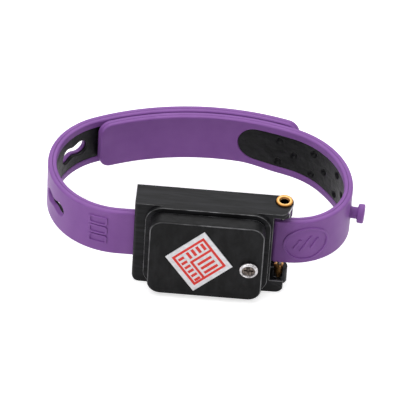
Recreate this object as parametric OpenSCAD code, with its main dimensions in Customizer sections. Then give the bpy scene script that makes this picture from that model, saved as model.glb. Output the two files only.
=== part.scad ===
// Adjustable grounding wrist strap: a moulded housing with a small resistor board
// inside, and two straps of two-colour silicone that button into a wrist loop.
// +X runs along the housing to its socket end, +Y runs back through the wrist loop,
// +Z is up. The origin is the middle of the housing's flat underside. Millimetres.

/* [Housing] */
// Width of the raised front panel
plinth_w = 28.8; // [28:0.1:32]
// Depth of the base, without the raised panel
base_d = 6.95; // [6.6:0.05:8]
// How far the raised panel stands out of the base
plinth_step = 0.9; // [0.6:0.1:1.6]
// Corner radius of the raised panel
plinth_corner = 4.2; // [2:0.1:6]
// Length of the strap end left of the raised panel
left_ear = 2.6; // [2.5:0.05:4]
// Shoulder right of the raised panel
right_step = 0.2; // [0.1:0.05:0.6]
// How far the front flange reaches past that shoulder
flange_reach = 0.3; // [0.2:0.05:0.5]
// Radius of the lower corners seen from the front
body_corner = 1.8; // [0.8:0.1:2.2]
// Radius of the left end's front edge seen from above
ear_edge_r = 0.8; // [0.3:0.1:1]
// Thickness of the back wall behind the board
back_wall = 1.4; // [1.1:0.05:1.8]

/* [Socket end] */
// Thickness of the top plate
top_plate_t = 1.1; // [1:0.1:1.8]
// Front corner radius of the top plate seen from above
top_plate_corner = 1.8; // [1:0.1:2]
// Distance of that corner's middle left of the socket's axis
top_plate_cut = 0.6; // [0.3:0.05:1]
// Radius of the boss round the socket
boss_r = 2.15; // [2.1:0.05:2.4]
// Height of the boss with the top plate
boss_h = 3.5; // [2.8:0.1:4]
// Thickness of the bottom plate
bottom_plate_t = 1.2; // [1:0.1:1.6]
// How far the bottom plate reaches past the socket's axis
bottom_plate_reach = 1.15; // [0.9:0.05:1.6]
// Height of the front lip on the bottom plate
lip_h = 3.5; // [2.6:0.1:4.4]
// Thickness of the front lip and the front flange
lip_t = 0.6; // [0.5:0.05:0.8]
// Outer radius of the cup round the lower bush
cup_r = 1.95; // [1.8:0.05:2.1]
// Height of the cup above the underside
cup_h = 4; // [3.4:0.1:4.4]
// Width of the cup's notch beside the bush
notch_w = 2; // [1.6:0.1:2.4]
// Width of the notch's narrow foot
notch_foot_w = 0.95; // [0.8:0.05:1.2]

/* [Cover] */
// Width of the cover
cover_w = 26.4; // [25:0.1:27.4]
// Height of panel left bare above and below the cover
cover_margin = 0.95; // [0.6:0.05:1.5]
// Depth of the cover in front of the raised panel
cover_d = 3.8; // [3:0.1:5]
// Corner radius of the cover
cover_corner = 3.1; // [2.4:0.1:4]
// Wall thickness of the cover
cover_wall = 1.2; // [1:0.05:1.4]
// Radius of the cover's front edge
cover_edge_r = 0.5; // [0.3:0.05:0.9]
// Width and depth of the shadow gap where the cover meets the panel
reveal = 0.3; // [0.2:0.05:0.4]
// Distance of the screw from the cover's right edge
screw_inset = 3.2; // [3:0.1:3.8]
// Distance of the screw below the cover's middle
screw_drop = 1.2; // [0:0.05:2]
// Diameter of the screw's head
screw_head_d = 4.4; // [3.8:0.1:5]
// Height of the screw's domed head
screw_head_h = 0.9; // [0.7:0.05:1.4]
// Diameter of the screw's shank
screw_shank_d = 2.2; // [1.8:0.1:2.4]
// Length of the screw's shank
screw_len = 7; // [5.5:0.1:7.5]

/* [Label] */
// Tall diagonal of the lozenge label
label_tall = 18.3; // [14:0.1:19]
// Wide diagonal of the lozenge label
label_wide = 15.6; // [10:0.1:16]
// Tilt of the label
label_tilt = -5.6; // [-10:0.1:10]
// Distance of the label's middle left of the cover's middle
label_shift = 1.5; // [0:0.1:2.5]
// Thickness of the label
label_t = 0.15; // [0.1:0.05:0.3]

/* [Bushes and pins] */
// Outer diameter of the brass socket bush
bush_d = 3.9; // [3.6:0.05:4]
// Outer diameter of the brass lower bush
lower_bush_d = 1.8; // [1.6:0.05:1.8]
// Bore diameter of the socket
socket_d = 2; // [1.6:0.05:2.2]
// Depth of the socket from its mouth
socket_depth = 2.6; // [2.2:0.05:2.8]
// Thickness of the brass floor between the socket and the pin
socket_floor = 0.3; // [0.2:0.05:0.4]
// Diameter of the stud strap's steel pin
stud_pin_d = 1; // [0.8:0.05:1.1]
// Width of the chamfer round the socket's mouth
mouth_chamfer = 0.35; // [0.2:0.05:0.45]
// How far the socket bush stands above the top plate
bush_proud = 0.5; // [0.2:0.05:1]
// How deep the lower bush is let into the bottom plate
lower_bush_sink = 0.6; // [0.4:0.05:0.8]
// Diameter of the slotted strap's steel pin
slotted_pin_d = 1.5; // [1.2:0.05:1.7]
// Distance of the slotted strap's pin from the housing's left end
slotted_pin_inset = 2.3; // [2.2:0.05:2.5]
// Distance of the slotted strap's pin in front of mid-depth
slotted_pin_fwd = 0.23; // [0:0.01:0.5]

/* [Strap section] */
// Width of both straps
strap_w = 12.65; // [11:0.05:13]
// Height of the straps' lower edge above the housing's underside
strap_rise = 5.8; // [5.6:0.05:6.4]
// Distance from the straps' upper edge to the housing's top
strap_drop = 5.25; // [5:0.05:6]
// Thickness of the outer skin
outer_skin = 1; // [0.8:0.05:1.2]
// Thickness of the conductive core web between the skins
core_t = 0.2; // [0.15:0.05:0.3]
// Thickness of the inner skin
inner_skin = 0.85; // [0.7:0.05:1]
// How far the core web stays back from the straps' edges
core_inset = 0.4; // [0.2:0.05:0.6]
// Corner radius of the straps' free ends
strap_end_r = 2.9; // [1.5:0.1:4]
// Gap between the straps where they lie over each other
lap_gap = 0.32; // [0.3:0.01:0.5]

/* [Strap course] */
// Straight lead of the slotted strap outside the housing
slotted_lead = 3.75; // [3.4:0.05:5]
// Bend radius of the slotted strap at the side of the wrist
side_bend_r = 16.93; // [16:0.01:18.5]
// Sweep of that side bend in degrees
side_sweep = 151.4; // [149:0.1:153]
// Bend radius of the slotted strap across the back of the wrist
back_bend_r = 59.04; // [52:0.01:64]
// Sweep of the back bend in degrees
back_sweep = 48.1; // [46:0.1:50]
// Straight lead of the stud strap past its pin
stud_lead = 1.7; // [1.6:0.05:2.4]
// How far the stud strap's rounded end reaches behind its pin
stud_root_reach = 2.2; // [1.8:0.05:2.6]
// Gap between that end and the housing
stud_root_gap = 0.15; // [0.1:0.05:0.3]
// Distance of the slotted strap's flex line from the housing's left end
flex_out = 3; // [2.4:0.05:3.2]
// Gap between the strap's root and its moving part at the flex line
flex_gap = 0.06; // [0.04:0.01:0.1]

/* [Slots and studs] */
// Number of button slots
slot_count = 4; // [3:1:4]
// Distance of the first slot from the slotted strap's pin
slot_first = 24; // [23:0.1:26]
// Distance between slots
slot_pitch = 19.6; // [17:0.1:20.5]
// Diameter of a slot's two round lobes
lobe_d = 3.4; // [3.2:0.05:3.8]
// Distance between a slot's two lobes
lobe_gap = 4.8; // [4:0.1:6]
// Width of the waist between a slot's lobes
waist_w = 2.2; // [1.6:0.1:2.6]
// How far the liner stays back from a slot's edge
slot_lip = 0.35; // [0.2:0.05:0.6]
// Number of studs buttoned into the last slots
engaged_count = 2; // [1:1:2]
// Diameter of a stud's neck
stud_neck_d = 2.8; // [2.5:0.05:3.1]
// Length of the free stud's neck, which a buttoned stud stretches
free_neck_len = 1.6; // [1.4:0.05:2.4]
// Diameter of a stud's head
stud_head_d = 4.6; // [4:0.1:5]
// Thickness of a stud's head
stud_head_t = 1.6; // [1:0.05:1.8]
// Rounding of a stud's head
stud_edge_r = 0.4; // [0.2:0.05:0.45]
// Gap between a buttoned stud's head and the slotted strap
stud_seat_gap = 0.13; // [0.08:0.01:0.3]
// Distance of the free stud from the stud strap's pin
free_stud_at = 20.8; // [14:0.1:22]

/* [Liner windows] */
// Width of the windows that bare the conductive liner
window_w = 9; // [7:0.1:9.6]
// How far the liner stays below the inner skin
liner_recess = 0.15; // [0.1:0.05:0.3]
// Start of the slotted strap's window, from its pin
slotted_window_from = 16.3; // [14:0.1:18]
// Distance from the slotted strap's window to its free end
slotted_window_end = 6; // [5:0.1:9]
// Start of the stud strap's window, from its pin
stud_window_from = 12; // [9:0.1:14]
// End of the stud strap's window, from its pin
stud_window_to = 60.4; // [56:0.1:62]
// Distance from the window's end to the first row of dimples
dimple_last = 10.4; // [9:0.1:12]
// Diameter of the spherical dimples in the stud strap's liner
dimple_ball_d = 3.6; // [3:0.1:5]
// Depth of the dimples
dimple_depth = 0.3; // [0.2:0.05:0.45]
// Distance between rows of dimples
dimple_pitch = 4.8; // [4:0.1:5.2]
// Distance between the two dimples of a pair
dimple_pair = 5.8; // [4:0.1:6]
// Number of rows of dimples
dimple_rows = 6; // [2:1:6]
// How far a single dimple sits from the middle between its neighbouring pairs
dimple_single_shift = 0.8; // [0:0.1:1.2]

/* [Board] */
// Thickness of the circuit board
board_t = 1; // [0.8:0.1:1.6]
// Gap between the board and the cavity's side wall, and the screw column
board_gap = 0.8; // [0.5:0.05:1.2]
// Gap above and below the board
board_end_gap = 1; // [0.8:0.05:1.4]
// Height of the posts that carry the board
post_h = 1.5; // [1:0.1:2]
// Diameter of those posts
post_d = 2; // [1.8:0.1:2.4]
// Diameter of the locating pegs on the posts
peg_d = 1; // [0.8:0.05:1.2]
// Distance of the pegs from the board's edges
peg_inset = 2.3; // [2.2:0.1:2.8]
// Diameter of a resistor's end caps
resistor_d = 2.3; // [1.8:0.1:2.6]
// Length of a resistor's body
resistor_len = 6.3; // [5:0.1:8]
// Distance between the two resistors
resistor_gap = 5; // [4:0.1:6]
// Diameter of a resistor's leads
lead_d = 0.6; // [0.4:0.05:0.7]
// Thickness of the contact springs
spring_t = 0.25; // [0.2:0.05:0.35]
// Width of the contact springs
spring_w = 1; // [0.8:0.05:1.1]
// Distance of the contact springs from the board's ends
spring_inset = 0.3; // [0.2:0.05:0.4]
// How far the contact springs lie on the board
spring_lap = 3; // [2:0.1:4]

/* [Clearances] */
// Radial clearance of pins, bushes and sleeves that are pressed in
seat_gap = 0.02; // [0.01:0.01:0.05]
// Radial clearance of a strap's sleeve on its pin
run_gap = 0.07; // [0.03:0.01:0.1]
// Gap round small parts that pass through a hole
pass_gap = 0.1; // [0.05:0.01:0.2]

/* [Hidden] */
$fn = 96;
over = 1;        // how far a cutting tool runs past what it cuts
tiny = 0.001;    // stations closer to an end than this are left out
facet_len = 1.5; // longest facet along a strap's bends

// Colours
shell_black = [0.13, 0.13, 0.14];
silicone_purple = [0.52, 0.37, 0.60];
liner_black = [0.12, 0.12, 0.12];
brass = [0.83, 0.69, 0.40];
steel = [0.75, 0.76, 0.78];
board_green = [0.10, 0.36, 0.22];
paper_white = [0.85, 0.83, 0.85];
resistor_blue = [0.45, 0.66, 0.75];

// Straps: the normal distance n is zero on the centre line and grows outwards
strap_t = outer_skin + core_t + inner_skin;
outer_n = strap_t / 2;
core_n1 = outer_n - outer_skin;
core_n0 = core_n1 - core_t;
inner_n = -outer_n;
strap_z0 = strap_rise;
strap_z1 = strap_rise + strap_w;
strap_mid = (strap_z0 + strap_z1) / 2;
lap_pitch = strap_t + lap_gap;

// Housing planes
housing_h = strap_z1 + strap_drop;
back_y = base_d / 2;
front_y = -base_d / 2;
plinth_y = front_y - plinth_step;
cover_y = plinth_y - cover_d;
body_x0 = -plinth_w / 2 - left_ear;
body_x1 = plinth_w / 2 + right_step;
cover_z0 = cover_margin;
cover_z1 = housing_h - cover_margin;
mid_z = housing_h / 2;
screw_z = mid_z - screw_drop;

// Pins and bushes
bush_r = bush_d / 2;
lower_bush_r = lower_bush_d / 2;
bush_side = lower_bush_r + 3 * pass_gap;    // side of the block beside the lower bush, from its axis
socket_r = socket_d / 2;
stud_pin_r = stud_pin_d / 2;
slotted_pin_r = slotted_pin_d / 2;
stud_sleeve_wall = 0.25;
slotted_sleeve_wall = 0.38;
stud_sleeve_r = stud_pin_r + run_gap + stud_sleeve_wall;
slotted_sleeve_r = slotted_pin_r + run_gap + slotted_sleeve_wall;
knuckle_skin = 0.67;
slotted_knuckle_r = slotted_sleeve_r + knuckle_skin;
stud_root = outer_n - stud_root_reach;    // arc length where the stud strap's rounded end begins
stud_pin_x = body_x1 + stud_root_reach + stud_root_gap;
stud_pin_y = back_y - boss_r;
slotted_pin_x = body_x0 + slotted_pin_inset;
slotted_pin_y = -slotted_pin_fwd;
boss_z0 = housing_h - boss_h;
socket_top = housing_h + bush_proud;
socket_floor_z = socket_top - socket_depth;
socket_bush_z0 = boss_z0 + pass_gap;
stud_pin_z1 = socket_floor_z - socket_floor - pass_gap / 2;
lower_bush_z0 = bottom_plate_t - lower_bush_sink;
lower_bush_floor = 0.4;
boss_set_back = 0.05;    // of the boss under the top plate's edge
block_gap = 0.6;     // between the lower block and the straps
notch_foot_h = 1;    // height of the notch's narrow foot above the bottom plate
stud_pin_z0 = lower_bush_z0 + lower_bush_floor + pass_gap / 2;
pocket_z0 = strap_z0 - pass_gap * 2;
pocket_z1 = strap_z1 + pass_gap * 2;
mouth_gap = 0.08;    // between the strap's root and the slot it comes out of

// Inside the housing
rim_seat = 0.2;      // bearing of the cover's wall on the raised panel
cavity_w = cover_w - 2 * (cover_wall + rim_seat);
cavity_z0 = cover_z0 + cover_wall + rim_seat;
cavity_z1 = cover_z1 - cover_wall - rim_seat;
cavity_r = cover_corner - cover_wall - rim_seat;
cavity_back_y = back_y - back_wall;
screw_x = cover_w / 2 - screw_inset;
screw_r = screw_shank_d / 2;
dome_share = 0.6;      // of the screw head's height that is domed
recess_reach = 0.55;   // length, width and depth of the cross recess, as shares of the head
recess_width = 0.13;
recess_depth = 0.7;
recess_turn = 20;
column_wall = 1.1;
cover_boss_wall = 1.3;
column_r = screw_r + column_wall;
cover_boss_r = screw_r + cover_boss_wall;
board_back_y = cavity_back_y - post_h;
board_front_y = board_back_y - board_t;
board_x0 = -cavity_w / 2 + board_gap;
board_x1 = screw_x - column_r - board_gap;
board_z0 = cavity_z0 + board_end_gap;
board_z1 = cavity_z1 - board_end_gap;
board_corner = 0.8;
peg_proud = 0.3;
resistor_r = resistor_d / 2;
resistor_x = (board_x0 + board_x1) / 2;
resistor_y = board_front_y - pass_gap - resistor_r;
cap_share = 0.22;      // of a resistor's length that is an end cap
waist_share = 0.87;    // of the end caps' radius that the body keeps between them
lead_bend = 1.3;
lead_reach = resistor_len / 2 + lead_bend;
left_spring_z = board_z1 - spring_inset - spring_w / 2;
right_spring_z = board_z0 + spring_inset + spring_w / 2;
lower_bush_z1 = right_spring_z + spring_w / 2 + pass_gap;
slotted_pin_z0 = 1.5;
pin_past_spring = 0.4;
slotted_pin_z1 = left_spring_z + spring_w / 2 + pin_past_spring;

// Strap courses: [start [x, y, heading], turn (1 left, -1 right), [[length, radius], ...]],
// measured from each strap's pin, with radius 0 for a straight run
slotted_course = [[slotted_pin_x, slotted_pin_y, 180], -1,
    [[slotted_pin_inset + slotted_lead, 0], [arc_len(side_bend_r, side_sweep), side_bend_r],
     [arc_len(back_bend_r, back_sweep), back_bend_r]]];
slotted_end = course_before(slotted_course, 3);
flex_at = slotted_pin_inset + flex_out;

// The stud strap lies inside the slotted strap's back bend, about the same centre
tail = course_at(slotted_course, slotted_end);
stud_back_r = back_bend_r - lap_pitch;
back_centre = [tail[0] + back_bend_r * sin(tail[2]), tail[1] - back_bend_r * cos(tail[2])];
lap_start = [back_centre[0] - stud_back_r * sin(tail[2]), back_centre[1] + stud_back_r * cos(tail[2])];
corner_x = stud_pin_x + stud_lead;
shoulder_r = (corner_x - stud_pin_y - lap_start[0] + lap_start[1]) / (1 + sin(tail[2]) + cos(tail[2]));
heel_r = lap_start[1] - shoulder_r * cos(tail[2]) - stud_pin_y;
stud_course = [[stud_pin_x, stud_pin_y, 0], 1,
    [[stud_lead, 0], [arc_len(heel_r, 90), heel_r], [arc_len(shoulder_r, 90 + tail[2]), shoulder_r],
     [arc_len(stud_back_r, back_sweep), stud_back_r]]];
stud_end = course_before(stud_course, 4);
slot_places = [for (i = [0 : slot_count - 1]) slot_first + i * slot_pitch];
lobe_r = lobe_d / 2;
stud_neck_len = lap_gap + strap_t + stud_seat_gap;

// Arc length along the stud strap of the point that lies under one of the slotted strap
function under_slotted(s) = stud_end
    - (s - course_before(slotted_course, 2)) * stud_back_r / back_bend_r;
// Buttoned studs sit in the lobes nearest the slotted strap's free end
engaged_places = [for (i = [1 : engaged_count])
    under_slotted(slot_places[slot_count - i] + lobe_gap / 2)];

function arc_len(r, sweep) = r * sweep * PI / 180;

// Frame [x, y, heading] at the end of a run that starts at frame f
function run_end(f, length, r, turn) = r == 0
    ? [f[0] + length * cos(f[2]), f[1] + length * sin(f[2]), f[2]]
    : let (bend = turn * length / r * 180 / PI,
           cx = f[0] - turn * r * sin(f[2]),
           cy = f[1] + turn * r * cos(f[2]))
      [cx + turn * r * sin(f[2] + bend), cy - turn * r * cos(f[2] + bend), f[2] + bend];

// Arc length before run i of a course
function course_before(course, i) = i == 0 ? 0 : course_before(course, i - 1) + course[2][i - 1][0];

// Frame at the start of run i of a course
function course_start(course, i) = i == 0 ? course[0]
    : run_end(course_start(course, i - 1), course[2][i - 1][0], course[2][i - 1][1], course[1]);

// Frame at arc length s along a course
function course_at(course, s, i = 0) = (i == len(course[2]) - 1 || s <= course_before(course, i + 1))
    ? run_end(course_start(course, i), s - course_before(course, i), course[2][i][1], course[1])
    : course_at(course, s, i + 1);

// Point at arc length s along a course, at normal distance n from its centre line
function off_course(course, s, n) = let (f = course_at(course, s), side = course[1] * n)
    [f[0] + side * sin(f[2]), f[1] - side * cos(f[2])];

// Arc lengths from s0 to s1 that split the bends into even facets, the same for every layer
function stations(course, s0, s1) = concat([s0],
    [for (i = [0 : len(course[2]) - 1])
        let (first = course_before(course, i), length = course[2][i][0],
             parts = course[2][i][1] == 0 ? 1 : ceil(length / facet_len))
            for (k = [0 : parts - 1])
                let (s = first + k * length / parts)
                    if (s > s0 + tiny && s < s1 - tiny) s],
    [s1]);

// ---- 2D outlines ----

// Rectangle with its own radius at each corner: lower left, lower right, upper right, upper left
module corner_rect(x0, z0, x1, z1, radii) {
    corners = [[x0, z0, 1, 1], [x1, z0, -1, 1], [x1, z1, -1, -1], [x0, z1, 1, -1]];
    difference() {
        translate([x0, z0]) square([x1 - x0, z1 - z0]);
        for (i = [0 : 3])
            if (radii[i] > 0)
                translate([corners[i][0], corners[i][1]]) scale([corners[i][2], corners[i][3]])
                    corner_bite(radii[i]);
    }
}

// What a rounded corner of radius r takes away from a square corner at the origin
module corner_bite(r) {
    difference() {
        translate([-over, -over]) square(r + over);
        translate([r, r]) circle(r);
    }
}

module round_rect(x0, z0, x1, z1, r) corner_rect(x0, z0, x1, z1, [r, r, r, r]);

// ---- placing ----

// Children's +Z faces the front of the housing, their Y runs up it
module facing(y) translate([0, y, 0]) rotate([90, 0, 0]) children();

module at_stud_pin(z) translate([stud_pin_x, stud_pin_y, z]) children();

// A front view outline, extruded from y_front back to y_back
module slab(y_front, y_back) facing(y_back) linear_extrude(y_back - y_front) children();

// Children's +Z points out of the strap at arc length s and height z, from normal distance n
module on_strap(course, s, z, n) {
    f = course_at(course, s);
    translate([f[0], f[1], z]) rotate(f[2]) mirror([0, course[1] < 0 ? 1 : 0, 0])
        rotate([90, 0, 0]) translate([0, 0, n]) children();
}

// A 2D outline in the strap's own face, cut through its whole thickness
module through_strap(course, s, z) {
    reach = strap_t + over;
    on_strap(course, s, z, -reach) linear_extrude(2 * reach) children();
}

// ---- straps ----

// A band along a course from arc length s0 to s1, normal distance n0 to n1, height z0 to z1
module band_run(course, s0, s1, n0, n1, z0, z1) {
    places = stations(course, s0, s1);
    last = len(places) - 1;
    translate([0, 0, z0]) linear_extrude(z1 - z0)
        polygon(concat([for (i = [0 : last]) off_course(course, places[i], n1)],
            [for (i = [last : -1 : 0]) off_course(course, places[i], n0)]));
}

// Rounds both corners of a strap's free end, or of a layer that stays back from its edges
module end_corners(course, s_end, inset = 0) {
    for (side = [-1, 1])
        through_strap(course, s_end - strap_end_r, strap_mid) scale([1, side])
            translate([0, strap_w / 2 - strap_end_r]) difference() {
                square(strap_end_r + over);
                circle(strap_end_r - inset);
            }
}

// Figure-of-eight button slot
module slot_cut(course, s, lip = 0) {
    for (side = [-1, 1])
        through_strap(course, s + side * lobe_gap / 2, strap_mid) circle(lobe_r + lip);
    band_run(course, s - lobe_gap / 2, s + lobe_gap / 2, -strap_t, strap_t,
        strap_mid - waist_w / 2 - lip, strap_mid + waist_w / 2 + lip);
}

module all_slots(lip = 0) for (s = slot_places) slot_cut(slotted_course, s, lip);

// Round-ended window along the strap, between two normal distances
module window_form(course, s0, s1, n0, n1) {
    r = window_w / 2;
    band_run(course, s0 + r, s1 - r, n0, n1, strap_mid - r, strap_mid + r);
    for (s = [s0 + r, s1 - r])
        intersection() {
            through_strap(course, s, strap_mid) circle(r);
            band_run(course, s - r - over, s + r + over, n0, n1, strap_mid - r, strap_mid + r);
        }
}

// Round disc or post about a pin, over the straps' width
module pin_disc(x, y, r, z0 = strap_z0, z1 = strap_z1) translate([x, y, z0]) cylinder(r = r, h = z1 - z0);

module slotted_window(n0, n1) window_form(slotted_course, slotted_window_from,
    slotted_end - slotted_window_end, n0, n1);

module stud_window(n0, n1) window_form(stud_course, stud_window_from, stud_window_to, n0, n1);

module slotted_strap_outer() color(silicone_purple) difference() {
    band_run(slotted_course, flex_at + flex_gap / 2, slotted_end, core_n1, outer_n, strap_z0, strap_z1);
    all_slots();
    end_corners(slotted_course, slotted_end);
}

module slotted_strap_inner() color(silicone_purple) difference() {
    band_run(slotted_course, flex_at + flex_gap / 2, slotted_end, inner_n, core_n0, strap_z0, strap_z1);
    slotted_window(inner_n - over, core_n0);
    end_corners(slotted_course, slotted_end);
}

module slotted_strap_liner() color(liner_black) difference() {
    union() {
        band_run(slotted_course, flex_at + flex_gap / 2, slotted_end - core_inset, core_n0, core_n1,
            strap_z0 + core_inset, strap_z1 - core_inset);
        slotted_window(inner_n + liner_recess, core_n0 + core_t / 2);
    }
    all_slots(slot_lip);
    end_corners(slotted_course, slotted_end, core_inset);
}

module slotted_strap_root() color(silicone_purple) difference() {
    union() {
        pin_disc(slotted_pin_x, slotted_pin_y, slotted_knuckle_r);
        band_run(slotted_course, 0, flex_at - flex_gap / 2, inner_n, outer_n, strap_z0, strap_z1);
    }
    pin_disc(slotted_pin_x, slotted_pin_y, slotted_sleeve_r, strap_z0 - over, strap_z1 + over);
    band_run(slotted_course, 0, flex_at + over, core_n0, core_n1, strap_z0 - over, strap_z1 + over);
}

module slotted_root_core() color(liner_black) difference() {
    union() {
        pin_disc(slotted_pin_x, slotted_pin_y, slotted_sleeve_r);
        band_run(slotted_course, 0, flex_at - flex_gap / 2, core_n0, core_n1,
            strap_z0 + core_inset, strap_z1 - core_inset);
    }
    pin_disc(slotted_pin_x, slotted_pin_y, slotted_pin_r + run_gap, strap_z0 - over, strap_z1 + over);
}

// The stud strap's rounded end behind its pin, between two normal distances
module stud_root_end(n0, n1) intersection() {
    pin_disc(stud_pin_x + stud_root, stud_pin_y, outer_n);
    translate([stud_pin_x + stud_root - outer_n - over, stud_pin_y - n1, strap_z0])
        cube([outer_n + 2 * over, n1 - n0, strap_w]);
}

module stud_sleeve_hole() pin_disc(stud_pin_x, stud_pin_y, stud_sleeve_r, strap_z0 - over, strap_z1 + over);

module stud_strap_outer() color(silicone_purple) difference() {
    union() {
        stud_root_end(core_n1, outer_n);
        band_run(stud_course, stud_root, stud_end, core_n1, outer_n, strap_z0, strap_z1);
    }
    stud_sleeve_hole();
    end_corners(stud_course, stud_end);
    for (s = concat([free_stud_at], engaged_places))
        through_strap(stud_course, s, strap_mid) circle(stud_neck_d / 2);
}

module stud_strap_inner() color(silicone_purple) difference() {
    union() {
        stud_root_end(inner_n, core_n0);
        band_run(stud_course, stud_root, stud_end, inner_n, core_n0, strap_z0, strap_z1);
    }
    stud_sleeve_hole();
    stud_window(inner_n - over, core_n0);
    end_corners(stud_course, stud_end);
}

module stud_strap_liner() color(liner_black) difference() {
    union() {
        pin_disc(stud_pin_x, stud_pin_y, stud_sleeve_r);
        band_run(stud_course, core_inset - stud_root_reach, stud_end - core_inset, core_n0, core_n1,
            strap_z0 + core_inset, strap_z1 - core_inset);
        stud_window(inner_n + liner_recess, core_n0 + core_t / 2);
    }
    pin_disc(stud_pin_x, stud_pin_y, stud_pin_r + run_gap, strap_z0 - over, strap_z1 + over);
    end_corners(stud_course, stud_end, core_inset);
    liner_dimples();
}

// Pairs and single dimples in turn, backwards from the window's end
module liner_dimples() {
    last_row = stud_window_to - dimple_last;
    ball_n = inner_n + liner_recess - dimple_ball_d / 2 + dimple_depth;
    for (row = [0 : dimple_rows - 1])
        for (side = row % 2 == 0 ? [-1, 1] : [0])
            on_strap(stud_course, last_row - row * dimple_pitch + (side == 0 ? dimple_single_shift : 0),
                strap_mid + side * dimple_pair / 2, ball_n)
                sphere(d = dimple_ball_d);
}

// A button stud: its foot goes through the outer skin and stands on the core web
module stud_form(neck_len) {
    neck_h = outer_skin + neck_len;
    cylinder(d = stud_neck_d, h = neck_h + stud_head_t / 2);
    translate([0, 0, neck_h]) rotate_extrude() {
        square([stud_head_d / 2 - stud_edge_r, stud_head_t]);
        translate([0, stud_edge_r]) square([stud_head_d / 2, stud_head_t - 2 * stud_edge_r]);
        for (z = [stud_edge_r, stud_head_t - stud_edge_r])
            translate([stud_head_d / 2 - stud_edge_r, z]) circle(stud_edge_r);
    }
}

module free_stud() color(silicone_purple)
    on_strap(stud_course, free_stud_at, strap_mid, core_n1) stud_form(free_neck_len);

module engaged_studs() color(silicone_purple)
    for (s = engaged_places) on_strap(stud_course, s, strap_mid, core_n1) stud_form(stud_neck_len);

// ---- housing ----

module body_block() intersection() {
    slab(front_y, back_y)
        corner_rect(body_x0, 0, body_x1, housing_h, [body_corner, 0, 0, 0]);
    linear_extrude(housing_h) corner_rect(body_x0, front_y, body_x1, back_y, [ear_edge_r, 0, 0, 0]);
}

module plinth() slab(plinth_y, front_y + over)
    round_rect(-plinth_w / 2, 0, plinth_w / 2, housing_h, plinth_corner);

// Points of an arc about [x, y], from one angle to another
function arc_points(x, y, r, a0, a1) = let (parts = ceil(abs(a1 - a0) / 5))
    [for (i = [0 : parts]) let (a = a0 + (a1 - a0) * i / parts) [x + r * cos(a), y + r * sin(a)]];

// Plate over the socket end, with the boss that holds the socket bush
module top_plate() {
    root_x = body_x1 - over;
    plate_z = housing_h - top_plate_t;
    corner = [stud_pin_x - top_plate_cut, front_y + top_plate_corner];
    ahead = [stud_pin_x - corner[0], stud_pin_y - corner[1]];
    side_angle = atan2(ahead[1], ahead[0]) - acos((top_plate_corner - boss_r) / norm(ahead));
    translate([0, 0, plate_z]) linear_extrude(top_plate_t)
        polygon(concat([[root_x, front_y]],
            arc_points(corner[0], corner[1], top_plate_corner, -90, side_angle),
            arc_points(stud_pin_x, stud_pin_y, boss_r, side_angle, 90), [[root_x, back_y]]));
    under_r = boss_r - boss_set_back;
    at_stud_pin(boss_z0) cylinder(r = under_r, h = boss_h - top_plate_t / 2);
    translate([root_x, stud_pin_y - under_r, boss_z0])
        cube([stud_pin_x - root_x, 2 * under_r, boss_h - top_plate_t / 2]);
}

// Plate under the socket end, with its front lip and the cup round the lower bush
module bottom_lug() {
    root_x = body_x1 - over;
    lug_x1 = stud_pin_x + bottom_plate_reach;
    slab(front_y, front_y + lip_t) corner_rect(root_x, 0, lug_x1, lip_h, [0, body_corner, 0, 0]);
    slab(front_y, back_y) intersection() {
        corner_rect(root_x, 0, lug_x1, lip_h, [0, body_corner, 0, 0]);
        translate([root_x, 0]) square([lug_x1 - root_x, bottom_plate_t]);
    }
    difference() {
        union() {
            at_stud_pin(0) cylinder(r = cup_r, h = cup_h);
            translate([root_x, stud_pin_y - cup_r, 0])
                cube([stud_pin_x - bush_side - root_x, 2 * cup_r, strap_z0 - block_gap]);
            translate([root_x, stud_pin_y - cup_r, 0]) cube([stud_pin_x - root_x, 2 * cup_r, cup_h]);
        }
        cup_notch();
    }
}

// Notch in the front of the cup that shows the lower bush, narrow at its foot
module cup_notch() {
    foot_z = bottom_plate_t + notch_foot_h;
    at_stud_pin(foot_z) translate([pass_gap - bush_side, -cup_r - over, 0])
        cube([notch_w, cup_r + over, strap_rise]);
    at_stud_pin(bottom_plate_t) translate([-notch_foot_w / 2, -cup_r - over, 0])
        cube([notch_foot_w, cup_r + over, notch_foot_h + over / 2]);
}

// Thin front flange that hides the gap beside the stud strap's end
module side_flange() slab(front_y, front_y + lip_t) translate([body_x1 - over, bottom_plate_t])
    square([over + flange_reach, housing_h - top_plate_t / 2 - bottom_plate_t]);

module cavity() slab(plinth_y - over, cavity_back_y)
    round_rect(-cavity_w / 2, cavity_z0, cavity_w / 2, cavity_z1, cavity_r);

// Pocket for the slotted strap's knuckle, with the slot that its root comes out of
module knuckle_pocket() {
    translate([slotted_pin_x, slotted_pin_y, pocket_z0])
        cylinder(r = slotted_knuckle_r + pass_gap, h = pocket_z1 - pocket_z0);
    translate([body_x0 - over, slotted_pin_y - outer_n - mouth_gap, pocket_z0])
        cube([slotted_pin_inset + over, strap_t + 2 * mouth_gap, pocket_z1 - pocket_z0]);
    translate([slotted_pin_x, slotted_pin_y, -over])
        cylinder(r = slotted_pin_r + seat_gap, h = slotted_pin_z1 + pass_gap / 2 + over);
}

module bush_holes() {
    at_stud_pin(boss_z0 - over) cylinder(r = bush_r + seat_gap, h = boss_h + 2 * over);
    at_stud_pin(lower_bush_z0) cylinder(r = lower_bush_r + seat_gap, h = strap_z0);
}

// Slots through the end walls for the two contact springs
module spring_slots() {
    slot_h = spring_w + 2 * pass_gap;
    translate([slotted_pin_x, board_front_y - spring_t - pass_gap, left_spring_z - slot_h / 2])
        cube([-cavity_w / 2 - slotted_pin_x + over / 2, spring_t + 2 * pass_gap, slot_h]);
    translate([0, 0, right_spring_z - slot_h / 2]) linear_extrude(slot_h)
        spring_plan(cavity_w / 2 - over / 2, pass_gap);
}

// Place of the screw, seen from the front
module at_screw() translate([screw_x, screw_z, 0]) children();

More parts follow.
